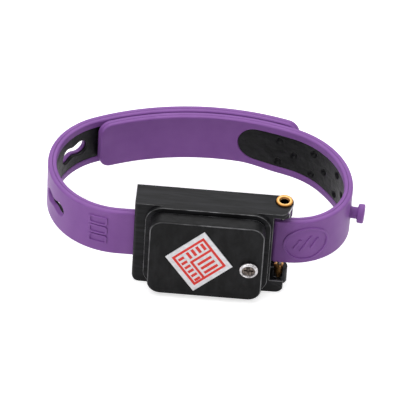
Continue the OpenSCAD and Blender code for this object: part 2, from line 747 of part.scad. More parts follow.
module screw_column() facing(cavity_back_y + over / 2) at_screw()
    cylinder(r = column_r, h = cavity_back_y + over / 2 - plinth_y - pass_gap);

// Places of the four pegs, seen from the front
module at_pegs() for (x = [board_x0 + peg_inset, board_x1 - peg_inset],
                      z = [board_z0 + peg_inset, board_z1 - peg_inset]) translate([x, z, 0]) children();

// Posts for the board, each with a peg
module board_posts() {
    facing(cavity_back_y + over / 2) at_pegs() cylinder(d = post_d, h = post_h + over / 2);
    facing(board_back_y + over / 2) at_pegs() cylinder(d = peg_d, h = board_t + over / 2 + peg_proud);
}

module housing_base() color(shell_black) difference() {
    union() {
        difference() {
            union() {
                body_block();
                plinth();
                top_plate();
                bottom_lug();
                side_flange();
            }
            cavity();
            knuckle_pocket();
            bush_holes();
            spring_slots();
        }
        intersection() {
            union() {
                screw_column();
                board_posts();
            }
            body_outline();
        }
    }
    facing(cavity_back_y - pass_gap) at_screw() cylinder(r = screw_r + seat_gap, h = base_d);
}

// Room in which the column and the posts may stand
module body_outline() slab(plinth_y, back_y)
    corner_rect(-plinth_w / 2 + cover_corner, 0, body_x1 - pass_gap, housing_h, [0, 0, 0, 0]);

// Rounded block with a soft front edge and a shadow gap at its foot
module cover_block() {
    x1 = cover_w / 2;
    edge_y = cover_y + cover_edge_r;
    inner_r = cover_corner - cover_edge_r;
    slab(plinth_y - reveal, plinth_y)
        round_rect(-x1 + reveal, cover_z0 + reveal, x1 - reveal, cover_z1 - reveal, cover_corner - reveal);
    slab(edge_y, plinth_y - reveal) round_rect(-x1, cover_z0, x1, cover_z1, cover_corner);
    slab(cover_y, edge_y) round_rect(-x1 + cover_edge_r, cover_z0 + cover_edge_r,
        x1 - cover_edge_r, cover_z1 - cover_edge_r, inner_r);
    for (x = [-x1 + cover_corner, x1 - cover_corner],
         z = [cover_z0 + cover_corner, cover_z1 - cover_corner])
        facing(edge_y) translate([x, z, 0])
            rotate_extrude() translate([inner_r, 0]) intersection() {
                circle(cover_edge_r);
                square(cover_edge_r);
            }
    for (z = [cover_z0 + cover_edge_r, cover_z1 - cover_edge_r])
        translate([-x1 + cover_corner, edge_y, z]) rotate([0, 90, 0])
            cylinder(r = cover_edge_r, h = cover_w - 2 * cover_corner);
    for (x = [-x1 + cover_edge_r, x1 - cover_edge_r])
        translate([x, edge_y, cover_z0 + cover_corner])
            cylinder(r = cover_edge_r, h = cover_z1 - cover_z0 - 2 * cover_corner);
}

module housing_cover() color(shell_black) difference() {
    union() {
        difference() {
            cover_block();
            slab(cover_y + cover_wall, plinth_y + over)
                round_rect(-cover_w / 2 + cover_wall, cover_z0 + cover_wall, cover_w / 2 - cover_wall,
                    cover_z1 - cover_wall, cover_corner - cover_wall);
        }
        facing(plinth_y) at_screw() cylinder(r = cover_boss_r, h = cover_d - cover_wall / 2);
    }
    facing(plinth_y + over) at_screw() cylinder(r = screw_r + pass_gap, h = cover_d + 2 * over);
}

module cover_screw() color(steel) facing(cover_y) at_screw() {
    head_r = screw_head_d / 2;
    dome_sag = screw_head_h * dome_share;
    dome_r = (head_r * head_r + dome_sag * dome_sag) / (2 * dome_sag);
    recess_l = screw_head_d * recess_reach;
    recess_w = screw_head_d * recess_width;
    recess_h = screw_head_h * recess_depth;
    difference() {
        intersection() {
            cylinder(r = head_r, h = screw_head_h);
            translate([0, 0, screw_head_h - dome_r]) sphere(dome_r);
        }
        for (a = [0, 90])
            rotate(a + recess_turn) translate([-recess_l / 2, -recess_w / 2, screw_head_h - recess_h])
                cube([recess_l, recess_w, recess_h + over]);
    }
    translate([0, 0, -screw_len]) cylinder(r = screw_r, h = screw_len + (screw_head_h - recess_h) / 2);
}

module cover_label() color(paper_white) facing(cover_y) translate([-label_shift, mid_z, 0])
    rotate(label_tilt) linear_extrude(label_t) polygon([[0, label_tall / 2], [label_wide / 2, 0],
        [0, -label_tall / 2], [-label_wide / 2, 0]]);

// ---- bushes and pins ----

module socket_bush() color(brass) difference() {
    at_stud_pin(socket_bush_z0) cylinder(r = bush_r, h = socket_top - socket_bush_z0);
    at_stud_pin(socket_floor_z) cylinder(r = socket_r, h = socket_depth + over);
    at_stud_pin(socket_top - mouth_chamfer)
        cylinder(r1 = socket_r, r2 = socket_r + 2 * mouth_chamfer, h = 2 * mouth_chamfer);
    at_stud_pin(socket_bush_z0 - over)
        cylinder(r = stud_pin_r + seat_gap, h = socket_floor_z - socket_floor - socket_bush_z0 + over);
}

module lower_bush() color(brass) difference() {
    at_stud_pin(lower_bush_z0) cylinder(r = lower_bush_r, h = lower_bush_z1 - lower_bush_z0);
    at_stud_pin(lower_bush_z0 + lower_bush_floor) cylinder(r = stud_pin_r + seat_gap, h = strap_z0);
}

module stud_strap_pin() color(steel)
    at_stud_pin(stud_pin_z0) cylinder(r = stud_pin_r, h = stud_pin_z1 - stud_pin_z0);

module slotted_strap_pin() color(steel) translate([slotted_pin_x, slotted_pin_y, slotted_pin_z0])
    cylinder(r = slotted_pin_r, h = slotted_pin_z1 - slotted_pin_z0);

// ---- board ----

module circuit_board() color(board_green) difference() {
    slab(board_front_y, board_back_y) round_rect(board_x0, board_z0, board_x1, board_z1, board_corner);
    facing(board_back_y + over) {
        at_pegs() cylinder(d = peg_d + pass_gap, h = board_t + 2 * over);
        for (side = [-1, 1], end = [-1, 1])
            translate([resistor_x + end * lead_reach, mid_z + side * resistor_gap / 2, 0])
                cylinder(d = lead_d + pass_gap, h = board_t + 2 * over);
    }
}

// An axial resistor lying on the board, its leads bent through the board
module resistor_form() {
    cap_l = resistor_len * cap_share;
    lead_drop = board_back_y - resistor_y;
    rotate([0, 90, 0]) {
        translate([0, 0, -resistor_len / 2]) cylinder(r = resistor_r * waist_share, h = resistor_len);
        for (end = [-1, 1])
            translate([0, 0, end * (resistor_len - cap_l) / 2 - cap_l / 2])
                cylinder(r = resistor_r, h = cap_l);
        translate([0, 0, -lead_reach]) cylinder(d = lead_d, h = 2 * lead_reach);
    }
    for (end = [-1, 1])
        translate([end * lead_reach, 0, 0]) {
            sphere(d = lead_d);
            rotate([-90, 0, 0]) cylinder(d = lead_d, h = lead_drop);
        }
}

module resistors() color(resistor_blue) for (side = [-1, 1])
    translate([resistor_x, resistor_y, mid_z + side * resistor_gap / 2]) resistor_form();

// Plan of the right-hand contact spring from x0: along the board, then back to the lower bush
module spring_plan(x0, grow = 0) {
    knee_x = board_x1 + board_gap / 2;
    tip_x = stud_pin_x - lower_bush_r - seat_gap;
    y0 = board_front_y - spring_t;
    rise = stud_pin_y - y0 - spring_t / 2;
    slope = rise / (tip_x - knee_x);
    start_x = max(x0, knee_x);
    if (x0 < knee_x)
        translate([x0, y0 - grow]) square([knee_x - x0, spring_t + 2 * grow]);
    polygon([[start_x, y0 - grow + slope * (start_x - knee_x)], [tip_x + grow, y0 - grow + rise],
        [tip_x + grow, y0 + spring_t + grow + rise],
        [start_x, y0 + spring_t + grow + slope * (start_x - knee_x)]]);
}

module stud_strap_spring() color(brass) translate([0, 0, right_spring_z - spring_w / 2])
    linear_extrude(spring_w) spring_plan(board_x1 - spring_lap);

module slotted_strap_spring() color(brass)
    translate([slotted_pin_x + slotted_pin_r + seat_gap, board_front_y - spring_t,
        left_spring_z - spring_w / 2])
        cube([board_x0 + spring_lap - slotted_pin_x - slotted_pin_r - seat_gap, spring_t, spring_w]);

housing_base();
housing_cover();
cover_screw();
cover_label();
socket_bush();
lower_bush();
stud_strap_pin();
slotted_strap_pin();
circuit_board();
resistors();
stud_strap_spring();
slotted_strap_spring();
slotted_strap_root();
slotted_root_core();
slotted_strap_outer();
slotted_strap_inner();
slotted_strap_liner();
stud_strap_outer();
stud_strap_inner();
stud_strap_liner();
free_stud();
engaged_studs();
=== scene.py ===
"""Looks of the grounding wrist strap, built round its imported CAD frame.

Metres, +Z up, in the CAD's own frame. Strap sizes are written in millimetres in the straps'
own coordinates: s along the strap from its pin, z across it from its middle, and n through
it, which is zero on the centre line and grows outwards.
"""
import math

import bmesh
import bpy
import numpy as np
from mathutils import Matrix, Vector
from mathutils.geometry import tessellate_polygon

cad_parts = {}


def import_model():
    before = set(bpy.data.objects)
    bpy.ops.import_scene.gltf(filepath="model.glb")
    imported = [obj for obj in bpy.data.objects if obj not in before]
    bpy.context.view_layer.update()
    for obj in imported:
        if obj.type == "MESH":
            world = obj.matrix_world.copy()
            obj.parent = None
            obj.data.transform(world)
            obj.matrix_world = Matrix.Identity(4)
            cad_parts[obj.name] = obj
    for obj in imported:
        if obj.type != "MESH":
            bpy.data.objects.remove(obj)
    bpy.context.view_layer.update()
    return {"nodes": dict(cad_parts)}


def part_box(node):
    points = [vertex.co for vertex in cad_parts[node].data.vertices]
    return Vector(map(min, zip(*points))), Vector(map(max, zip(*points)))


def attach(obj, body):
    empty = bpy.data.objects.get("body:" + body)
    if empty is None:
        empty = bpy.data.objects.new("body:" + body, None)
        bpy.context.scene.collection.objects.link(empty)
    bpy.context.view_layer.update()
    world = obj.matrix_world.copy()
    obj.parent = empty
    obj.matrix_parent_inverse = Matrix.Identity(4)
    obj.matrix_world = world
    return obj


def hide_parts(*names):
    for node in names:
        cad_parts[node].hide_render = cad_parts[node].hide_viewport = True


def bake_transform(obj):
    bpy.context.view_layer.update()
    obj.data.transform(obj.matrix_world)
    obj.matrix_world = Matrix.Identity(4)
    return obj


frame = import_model()
MM = 0.001

# -------------------------------- sizes from the frame


def box_mm(node):
    """Lowest and highest corner of a CAD node, in millimetres."""
    low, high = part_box(node)
    return np.array(low) / MM, np.array(high) / MM


def middle(node):
    """Middle of a CAD node's box, in millimetres."""
    low, high = box_mm(node)
    return (low + high) / 2


STUD_PIN = middle("stud_strap_pin")
SLOTTED_PIN = middle("slotted_strap_pin")
STRAP_LOW, STRAP_HIGH = (corner[2] for corner in box_mm("slotted_strap_outer"))
STRAP_MID = (STRAP_LOW + STRAP_HIGH) / 2
STRAP_W = STRAP_HIGH - STRAP_LOW
WALL_X = box_mm("housing_base")[0][0]          # the housing's left end
FLEX_X = box_mm("slotted_strap_root")[0][0]    # where the slotted strap starts to move

# -------------------------------- sizes of the straps

STRAP_T = 2.05
OUTER_N = STRAP_T / 2      # n of the outer face
SEAM_N = -0.075            # parting line between the two skins
SEAM_GAP = 0.02            # on each side of that line
LAP_GAP = 0.32             # between the two straps where they overlap
END_R = 2.9                # of a strap's corners at its free end

# The two centre lines: straight leads, then bends as radius and degrees
SLOTTED_LEAD = 3.75        # of the slotted strap past the housing's wall
SIDE_R, SIDE_SWEEP = 16.93, 151.4
BACK_R, BACK_SWEEP = 59.04, 48.1
STUD_LEAD = 1.7            # of the stud strap past its pin
ROOT_REACH = 2.2           # of the stud strap behind its pin, with a round end
ROOT_SHORT = 0.01          # by which its skins stop short of that
HIDDEN = 1.2               # the slotted strap's skins start this far past its pin, inside the housing
ROOT_END = 8.0             # along the slotted strap: past its flexing root, where the rest of it starts
FLEX_REACH = 2.2           # of the blend on either side of the flexing line
LEAN = 1.1                 # how far the stud strap's lower edge leans into the loop at most
LEAN_IN, LEAN_OUT = (22.0, 36.0), (50.0, 60.0)

# Button slots: two round lobes joined by a waist
SLOT_FIRST, SLOT_PITCH, SLOT_COUNT = 24.0, 19.6, 4
LOBE_R, LOBE_GAP, WAIST_W = 1.7, 4.8, 2.2
LOBE_JOIN = 0.35           # share of a lobe's radius inside its middle where the waist takes over
SLOT_LIP = 0.35            # of purple round a slot in the liner

# Liner windows, as start and end along the strap, and the dimples in the stud strap's liner
WINDOW_R = 4.5
SLOTTED_WINDOW = (16.3, 94.35)
STUD_WINDOW = (12.0, 60.4)
LINER_RECESS = 0.15
LINER_FIT = 0.02           # between a pad and its window
DIMPLE_FIRST, DIMPLE_PITCH, DIMPLE_PAIR, DIMPLE_ROWS = 50.0, 4.8, 5.8, 6
DIMPLE_SINGLE_SHIFT = 0.8
DIMPLE_R, DIMPLE_DEPTH = 0.95, 0.58
DIMPLE_SIDE = (0.35, 1.15)     # shares of its radius between which a dimple's side rises

STUD_NECK_R, STUD_HEAD_R, STUD_HEAD_T = 1.4, 2.3, 1.6
FREE_NECK, ENGAGED_NECK = 1.6, 2.5
FREE_STUD_AT = 20.8

# Roundings of the skins' edges and of the liner pads' edges
EDGE_R, INNER_EDGE_R, SEAM_R = 0.45, 0.38, 0.12
PAD_SEAM_R, PAD_EDGE_R = 0.02, 0.12

# Fineness of the meshes
SLICE = 0.6                # length of the strips that a flat plate is cut into before it is bent
FINE_SLICE = 0.25          # the same where dimples are pressed in
MARK_SLICE = 0.4
ROUND_STEPS = 5
QUARTER = [math.pi / 2 * i / ROUND_STEPS for i in range(ROUND_STEPS + 1)]
TURN_STEPS = 48


class Course:
    """A strap's centre line from above: tangent runs of (length, radius), 0 for a straight one."""

    def __init__(self, start, turn, runs, lean=None):
        self.turn = turn
        self.lean = lean or (lambda s, z: 0.0)
        self.runs = []
        first = 0.0
        for length, radius in runs:
            self.runs.append((first, length, radius, start))
            start = self._along(start, length, radius)
            first += length
        self.length = first

    def _along(self, start, length, radius):
        x, y, heading = start
        if not radius:
            return x + length * math.cos(heading), y + length * math.sin(heading), heading
        bend = self.turn * length / radius
        cx = x - self.turn * radius * math.sin(heading)
        cy = y + self.turn * radius * math.cos(heading)
        end = heading + bend
        return (cx + self.turn * radius * math.sin(end), cy - self.turn * radius * math.cos(end), end)

    def at(self, s):
        """(x, y, heading) at arc length s."""
        run = self.runs[0]
        for candidate in self.runs:
            if s >= candidate[0]:
                run = candidate
        first, _, radius, start = run
        return self._along(start, s - first, radius)

    def place(self, s, z, n):
        """Point of the world, in metres, for strap coordinates in millimetres."""
        x, y, heading = self.at(s)
        side = self.turn * (n - self.lean(s, z))
        return Vector((x + side * math.sin(heading), y - side * math.cos(heading), STRAP_MID + z)) * MM

    def bend(self, obj):
        """Bends a flat plate in strap coordinates round this course."""
        for v in obj.data.vertices:
            v.co = self.place(*v.co)
        obj.data.update()


def arc(radius, degrees):
    """Length of an arc."""
    return radius * math.radians(degrees)


def ease(value, low, high):
    """0 up to low, 1 from high on, and smooth between them."""
    t = min(max((value - low) / (high - low), 0.0), 1.0)
    return t * t * (3 - 2 * t)


def stud_lean(s, z):
    """How far the stud strap's limp right-hand stretch leans inwards, most at its lower edge."""
    return LEAN * ease(s, *LEAN_IN) * (1 - ease(s, *LEAN_OUT)) * (0.5 - z / STRAP_W)


def slotted_course():
    """A straight lead, the left bend and the wide back bend."""
    start = (SLOTTED_PIN[0], SLOTTED_PIN[1], math.pi)
    lead = SLOTTED_PIN[0] - WALL_X + SLOTTED_LEAD
    return Course(start, -1, [(lead, 0), (arc(SIDE_R, SIDE_SWEEP), SIDE_R), (arc(BACK_R, BACK_SWEEP), BACK_R)])


def stud_course(slotted):
    """The stud strap lies inside the slotted strap's back bend, about the same centre."""
    x, y, tail = slotted.at(slotted.length)
    back_r = BACK_R - STRAP_T - LAP_GAP
    sin, cos = math.sin(tail), math.cos(tail)
    lap_x = x + (BACK_R - back_r) * sin
    lap_y = y - (BACK_R - back_r) * cos
    pin_x, pin_y = STUD_PIN[0], STUD_PIN[1]
    shoulder_r = (pin_x + STUD_LEAD - pin_y - lap_x + lap_y) / (1 + sin + cos)
    heel_r = lap_y - shoulder_r * cos - pin_y
    runs = [(STUD_LEAD, 0), (arc(heel_r, 90), heel_r),
            (arc(shoulder_r, 90 + math.degrees(tail)), shoulder_r), (arc(back_r, BACK_SWEEP), back_r)]
    return Course((pin_x, pin_y, 0.0), 1, runs, stud_lean)


SLOTTED = slotted_course()
STUD = stud_course(SLOTTED)
SLOT_PLACES = [SLOT_FIRST + i * SLOT_PITCH for i in range(SLOT_COUNT)]


def under_slotted(s):
    """Arc length along the stud strap of the point under arc length s of the slotted strap."""
    past_bend = s - (SLOTTED.length - arc(BACK_R, BACK_SWEEP))
    return STUD.length - past_bend * (BACK_R - STRAP_T - LAP_GAP) / BACK_R


# -------------------------------- flat plates


def ring_arc(cx, cz, r, first, sweep, steps):
    """Points round a centre from the angle first on, through sweep degrees."""
    return [(cx + r * math.cos(math.radians(first + sweep * i / steps)),
             cz + r * math.sin(math.radians(first + sweep * i / steps))) for i in range(steps + 1)]


def strap_ring(s0, s1, half):
    """Outline of a strap or layer with rounded corners at its far end, counter-clockwise."""
    r = END_R
    ring = [(s0, -half)]
    ring += ring_arc(s1 - r, -half + r, r, -90, 90, 14)
    ring += ring_arc(s1 - r, half - r, r, 0, 90, 14)
    ring.append((s0, half))
    return ring


def stadium_ring(s0, s1, r):
    """Outline of a band with round ends from s0 to s1."""
    return ring_arc(s1 - r, 0, r, -90, 180, 36) + ring_arc(s0 + r, 0, r, 90, 180, 36)


def slot_half_width(x, lip):
    """Half width of a button slot at distance x from its middle, with its waist blended in."""
    x = abs(x)
    lobe_r = LOBE_R + lip
    centre = LOBE_GAP / 2
    join = centre - LOBE_JOIN * LOBE_R
    if x >= join:
        return math.sqrt(max(lobe_r ** 2 - (x - centre) ** 2, 0))
    t = x / join
    at_join = math.sqrt(lobe_r ** 2 - (join - centre) ** 2)
    slope = (centre - join) / at_join * join
    return ((WAIST_W / 2 + lip) * (2 * t ** 3 - 3 * t ** 2 + 1) + at_join * (3 * t ** 2 - 2 * t ** 3)
            + slope * (t ** 3 - t ** 2))


def slot_ring(s, lip=0.0):
    """Outline of a button slot about arc length s."""
    reach = LOBE_GAP / 2 + LOBE_R + lip
    steps = 30
    xs = [reach * math.cos(math.pi * i / steps) for i in range(steps + 1)]
    upper = [(s + x, slot_half_width(x, lip)) for x in xs]
    lower = [(s - x, -slot_half_width(x, lip)) for x in xs[1:-1]]
    return upper + lower


def ellipse_ring(cs, cz, rs, rz, steps=64):
    """Outline of an ellipse, counter-clockwise."""
    return [(cs + rs * math.cos(2 * math.pi * i / steps), cz + rz * math.sin(2 * math.pi * i / steps))
            for i in range(steps)]


def bar_ring(cs, cz, length, width, turn=0.0):
    """Outline of a bar with round ends, turned by some degrees."""
    r = width / 2
    half = length / 2 - r
    ring = ring_arc(half, 0, r, -90, 180, 10) + ring_arc(-half, 0, r, 90, 180, 10)
    c, k = math.cos(math.radians(turn)), math.sin(math.radians(turn))
    return [(cs + x * c - z * k, cz + x * k + z * c) for x, z in ring]


def block_ring(cs, cz, length, width, r):
    """Outline of a rectangle with corners of radius r."""
    ring = []
    for first, side_s, side_z in ((-90, 1, -1), (0, 1, 1), (90, -1, 1), (180, -1, -1)):
        ring += ring_arc(cs + side_s * (length / 2 - r), cz + side_z * (width / 2 - r), r, first, 90, 6)
    return ring


def wound(ring, clockwise):
    """The ring in the direction asked for."""
    area = sum(a[0] * b[1] - b[0] * a[1] for a, b in zip(ring, ring[1:] + ring[:1]))
    return ring[::-1] if (area < 0) != clockwise else ring


def inset_ring(ring, inset):
    """The ring moved towards its left side, which is into the material."""
    p = np.array(ring)
    ahead = np.roll(p, -1, 0) - p
    ahead /= np.linalg.norm(ahead, axis=1)[:, None]
    left = np.stack([-ahead[:, 1], ahead[:, 0]], 1)
    before = np.roll(left, 1, 0)
    both = left + before
    both /= (1 + (left * before).sum(1))[:, None]
    return p + inset * both


def rounded_levels(n_from, n_to, from_r, to_r):
    """Levels of (n, inset) from one face to the other, with both edges rounded."""
    sign = 1 if n_to > n_from else -1
    start = [(n_from + sign * from_r * (1 - math.cos(a)), from_r * (1 - math.sin(a))) for a in QUARTER]
    end = [(n_to - sign * to_r * (1 - math.sin(a)), to_r * (1 - math.cos(a))) for a in QUARTER]
    return start + end


def plate(name, outer, holes, levels, hole_round=1.0, slices=SLICE, cross=None, cuts=()):
    """A flat plate in strap coordinates: outline and holes stacked through levels of (n, inset).

    hole_round scales the inset round the holes. The plate is cut every slices along, every cross
    across where that is given, and at each of cuts, so that it can be bent.
    """
    rings = [wound(outer, False)] + [wound(h, True) for h in holes]
    bm = bmesh.new()
    stack = []
    for n, inset in levels:
        made = []
        for i, ring in enumerate(rings):
            points = inset_ring(ring, inset * (hole_round if i else 1.0))
            made.append([bm.verts.new((x, z, n)) for x, z in points])
        stack.append(made)
    for low, high in zip(stack, stack[1:]):
        for a, b in zip(low, high):
            for i in range(len(a)):
                j = (i + 1) % len(a)
                bm.faces.new((a[i], a[j], b[j], b[i]))
    for level in (stack[0], stack[-1]):
        flat = [v for ring in level for v in ring]
        for triangle in tessellate_polygon([[v.co for v in ring] for ring in level]):
            try:
                bm.faces.new([flat[i] for i in triangle])
            except ValueError:     # a face with these corners is there already
                pass
    low = min(p[0] for p in outer)
    high = max(p[0] for p in outer)
    count = int((high - low) / slices)
    for s in [low + i * (high - low) / (count + 1) for i in range(1, count + 1)] + list(cuts):
        cut(bm, (s, 0, 0), (1, 0, 0))
    if cross:
        half = max(p[1] for p in outer)
        count = int(2 * half / cross)
        for i in range(1, count + 1):
            cut(bm, (0, -half + i * 2 * half / (count + 1), 0), (0, 1, 0))
    bmesh.ops.recalc_face_normals(bm, faces=bm.faces[:])
    return object_of(bm, name)


def cut(bm, point, normal, clear_outer=False):
    """Cuts a mesh along a plane, and drops what lies on the normal's side if told to. Returns the cut."""
    return bmesh.ops.bisect_plane(bm, geom=bm.verts[:] + bm.edges[:] + bm.faces[:], plane_co=point,
                                  plane_no=normal, clear_outer=clear_outer)["geom_cut"]


def parted(obj, s):
    """Cuts a plate in two at s along its length. obj keeps the near part, and the far part is returned."""
    name = obj.name
    obj.name = name + "_root"
    far = bpy.data.objects.new(name, obj.data.copy())
    bpy.context.scene.collection.objects.link(far)
    for part, side in ((obj, 1), (far, -1)):
        bm = bmesh.new()
        bm.from_mesh(part.data)
        made = cut(bm, (s, 0, 0), (side, 0, 0), clear_outer=True)
        bmesh.ops.holes_fill(bm, edges=[e for e in made if isinstance(e, bmesh.types.BMEdge)], sides=0)
        bm.to_mesh(part.data)
        bm.free()
    return far


def smooth(obj, degrees=40):
    """Smooth shading with sharp edges kept, normals facing out."""
    bm = bmesh.new()
    bm.from_mesh(obj.data)
    bmesh.ops.remove_doubles(bm, verts=bm.verts[:], dist=0.001 * MM)
    bmesh.ops.recalc_face_normals(bm, faces=bm.faces[:])
    bm.to_mesh(obj.data)
    bm.free()
    obj.data.shade_smooth()
    obj.data.set_sharp_from_angle(angle=math.radians(degrees))


# -------------------------------- materials


def srgb(r, g, b):
    """Linear colour of an sRGB colour written 0 to 255."""
    def one(c):
        c /= 255
        return c / 12.92 if c <= 0.04045 else ((c + 0.055) / 1.055) ** 2.4
    return one(r), one(g), one(b), 1.0


COAT_ROUGHNESS = 0.1


class Look:
    """A Principled material with helpers for its procedural detail."""

    def __init__(self, name, colour, roughness, metallic=0.0, specular=0.5, coat=0.0, sheen=0.0):
        self.material = bpy.data.materials.new(name)
        self.material.use_nodes = True
        self.nodes = self.material.node_tree.nodes
        self.links = self.material.node_tree.links
        self.shader = self.nodes["Principled BSDF"]
        for socket, value in (("Base Color", colour), ("Roughness", roughness), ("Metallic", metallic),
                              ("Specular IOR Level", specular), ("Coat Weight", coat),
                              ("Coat Roughness", COAT_ROUGHNESS), ("Sheen Weight", sheen)):
            self.shader.inputs[socket].default_value = value
        self.coords = self.nodes.new("ShaderNodeTexCoord").outputs["Object"]
        self.bump = None

    def add(self, kind, **inputs):
        """A new node with its inputs linked or set. An underscore stands for a space."""
        node = self.nodes.new(kind)
        for name, value in inputs.items():
            socket = node.inputs[name.replace("_", " ")]
            if isinstance(value, bpy.types.NodeSocket):
                self.links.new(value, socket)
            else:
                socket.default_value = value
        return node

    def noise(self, size, detail=3.0, stretch=(1, 1, 1), distortion=0.0):
        """Noise with features of about size metres, 0 to 1."""
        place = self.add("ShaderNodeMapping", Vector=self.coords)
        place.inputs["Scale"].default_value = stretch
        return self.add("ShaderNodeTexNoise", Vector=place.outputs[0], Scale=1 / size, Detail=detail,
                        Roughness=0.55, Distortion=distortion).outputs[0]

    def ramp(self, value, low, high, colour_low, colour_high, *stops):
        """Colour that runs from one to the other as value goes from low to high, through any stops."""
        node = self.add("ShaderNodeValToRGB", Fac=value)
        node.color_ramp.elements[0].position = low
        node.color_ramp.elements[1].position = high
        node.color_ramp.elements[0].color = colour_low
        node.color_ramp.elements[1].color = colour_high
        for position, colour in stops:
            node.color_ramp.elements.new(position).color = colour
        return node.outputs[0]

    def colour(self, socket):
        self.links.new(socket, self.shader.inputs["Base Color"])

    def between(self, value, low, high, at_low, at_high):
        """at_low up to low, at_high from high on, and in a straight line between them."""
        node = self.add("ShaderNodeMapRange", Value=value)
        for name, number in zip(("From Min", "From Max", "To Min", "To Max"), (low, high, at_low, at_high)):
            node.inputs[name].default_value = number
        return node.outputs[0]

    def rough(self, value, low, high):
        """Roughness from low to high as value goes from 0 to 1."""
        self.links.new(self.between(value, 0.0, 1.0, low, high), self.shader.inputs["Roughness"])

    def relief(self, value, depth):
        """Bump of about depth metres, added to what is there."""
        node = self.add("ShaderNodeBump", Height=value, Strength=1.0, Distance=depth)
        if self.bump:
            self.links.new(self.bump.outputs[0], node.inputs["Normal"])
        self.bump = node
        self.links.new(node.outputs[0], self.shader.inputs["Normal"])

    def maths(self, operation, a, b=0.0):
        node = self.nodes.new("ShaderNodeMath")
        node.operation = operation
        for socket, value in zip(node.inputs, (a, b)):
            if isinstance(value, bpy.types.NodeSocket):
                self.links.new(value, socket)
            else:
                socket.default_value = value
        return node.outputs[0]


def silicone_look():
    """Satin purple silicone, a little cloudy, with a fine moulded grain."""
    look = Look("purple_silicone", srgb(146, 96, 171), 0.45, specular=0.16, sheen=0.02)
    cloud = look.noise(0.007, 3.0)
    look.colour(look.ramp(cloud, 0.3, 0.75, srgb(140, 90, 166), srgb(151, 100, 176)))
    look.rough(look.noise(0.0012, 4.0), 0.34, 0.5)
    look.relief(look.noise(0.00035, 4.0), 0.000012)
    look.relief(look.noise(0.004, 2.0), 0.00003)
    return look.material


def liner_look():
    """Black carbon-filled silicone, scuffed in soft patches."""
    look = Look("carbon_silicone", srgb(12, 12, 14), 0.4, specular=0.13)
    scuff = look.noise(0.0028, 5.0, distortion=0.6)
    look.colour(look.ramp(scuff, 0.42, 0.72, srgb(9, 9, 11), srgb(26, 26, 29)))
    look.rough(look.noise(0.0013, 5.0), 0.2, 0.5)
    look.relief(look.noise(0.00045, 5.0), 0.00004)
    look.relief(look.noise(0.0022, 3.0), 0.00024)
    return look.material


def shell_look(name, stretch, dark, light):
    """Black moulded plastic with fine drag marks along stretch."""
    look = Look(name, dark, 0.4, specular=0.1)
    grain = look.noise(0.0011, 6.0, stretch, distortion=0.2)
    look.colour(look.ramp(grain, 0.38, 0.72, dark, light))
    look.rough(look.noise(0.0009, 5.0, stretch), 0.34, 0.48)
    look.relief(grain, 0.00003)
    look.relief(look.noise(0.00025, 3.0), 0.00001)
    return look.material


def gloss_look():
    """The same plastic where the mould leaves it bright."""
    look = Look("bright_moulding", srgb(26, 26, 28), 0.1, specular=0.5, coat=1.0)
    look.shader.inputs["Coat IOR"].default_value = 1.62
    look.rough(look.noise(0.0009, 3.0), 0.08, 0.14)
    return look.material


def edge_highlight_look():
    """The same plastic with a painted highlight on its edge roundings: paler in patches broken up by noise, and
    smoother.
    """
    look = Look("painted_edge_highlight", srgb(90, 90, 92), 0.34, specular=0.4)
    # painted highlight: pale patches along the roundings, broken up by noise
    highlight_breakup = look.noise(0.005, 4.0, distortion=0.5)
    look.colour(look.ramp(highlight_breakup, 0.4, 0.66, srgb(30, 30, 32), srgb(136, 136, 139)))
    look.rough(look.noise(0.0006, 4.0), 0.26, 0.44)
    return look.material


BUSH_R = 0.002             # metres from the stud pin's axis at which the brass ramp's share is 1


def brass_painted_ring_look():
    """Turned brass round a countersunk mouth, with a painted highlight in a ring across its top and painted shade,
    browner, toward both edges.
    """
    look = Look("turned_brass_painted_ring", srgb(186, 138, 72), 0.3, metallic=0.75)
    part = look.add("ShaderNodeSeparateXYZ", Vector=look.coords).outputs
    x = look.maths("SUBTRACT", part[0], STUD_PIN[0] * MM)
    y = look.maths("SUBTRACT", part[1], STUD_PIN[1] * MM)
    away = look.maths("SQRT", look.maths("ADD", look.maths("MULTIPLY", x, x), look.maths("MULTIPLY", y, y)))
    # painted shade toward the bore's mouth and the outer edge, painted highlight in the ring between
    look.colour(look.ramp(look.maths("DIVIDE", away, BUSH_R), 0.54, 0.96, srgb(112, 66, 30), srgb(158, 108, 52),
                          (0.62, srgb(170, 118, 58)), (0.7, srgb(214, 180, 118)), (0.8, srgb(188, 138, 70))))
    look.rough(look.noise(0.0003, 4.0, (1, 1, 12)), 0.2, 0.42)
    look.relief(look.noise(0.00018, 3.0, (0.3, 0.3, 8)), 0.000008)
    return look.material


def dull_brass_look(name, metallic, dark, light):
    """Brass with its colour mottled between dark and light and a given metallic share, for the bore and the lower
    bush.
    """
    look = Look(name, light, 0.32, metallic=metallic)
    look.colour(look.ramp(look.noise(0.0005, 4.0), 0.3, 0.75, dark, light))
    look.rough(look.noise(0.0003, 4.0), 0.26, 0.5)
    return look.material


def steel_look(name, roughness, dark, light):
    """Bright metal with soft darker patches."""
    look = Look(name, light, roughness, metallic=1.0)
    look.colour(look.ramp(look.noise(0.0009, 3.0), 0.36, 0.6, dark, light))
    look.rough(look.noise(0.0004, 4.0), roughness * 0.7, roughness * 1.5)
    look.relief(look.noise(0.0003, 4.0), 0.00001)
    return look.material


def recess_look():
    """Dark mottled steel for the face and cross recess of the screw's head."""
    look = Look("dark_mottled_steel", srgb(90, 80, 74), 0.5, metallic=0.7)
    mottle = look.noise(0.0005, 6.0, (2.2, 1, 0.7), distortion=0.8)
    look.colour(look.ramp(mottle, 0.4, 0.62, srgb(26, 20, 18), srgb(128, 116, 108)))
    look.rough(look.noise(0.0003, 4.0), 0.3, 0.6)
    look.relief(mottle, 0.00006)
    return look.material


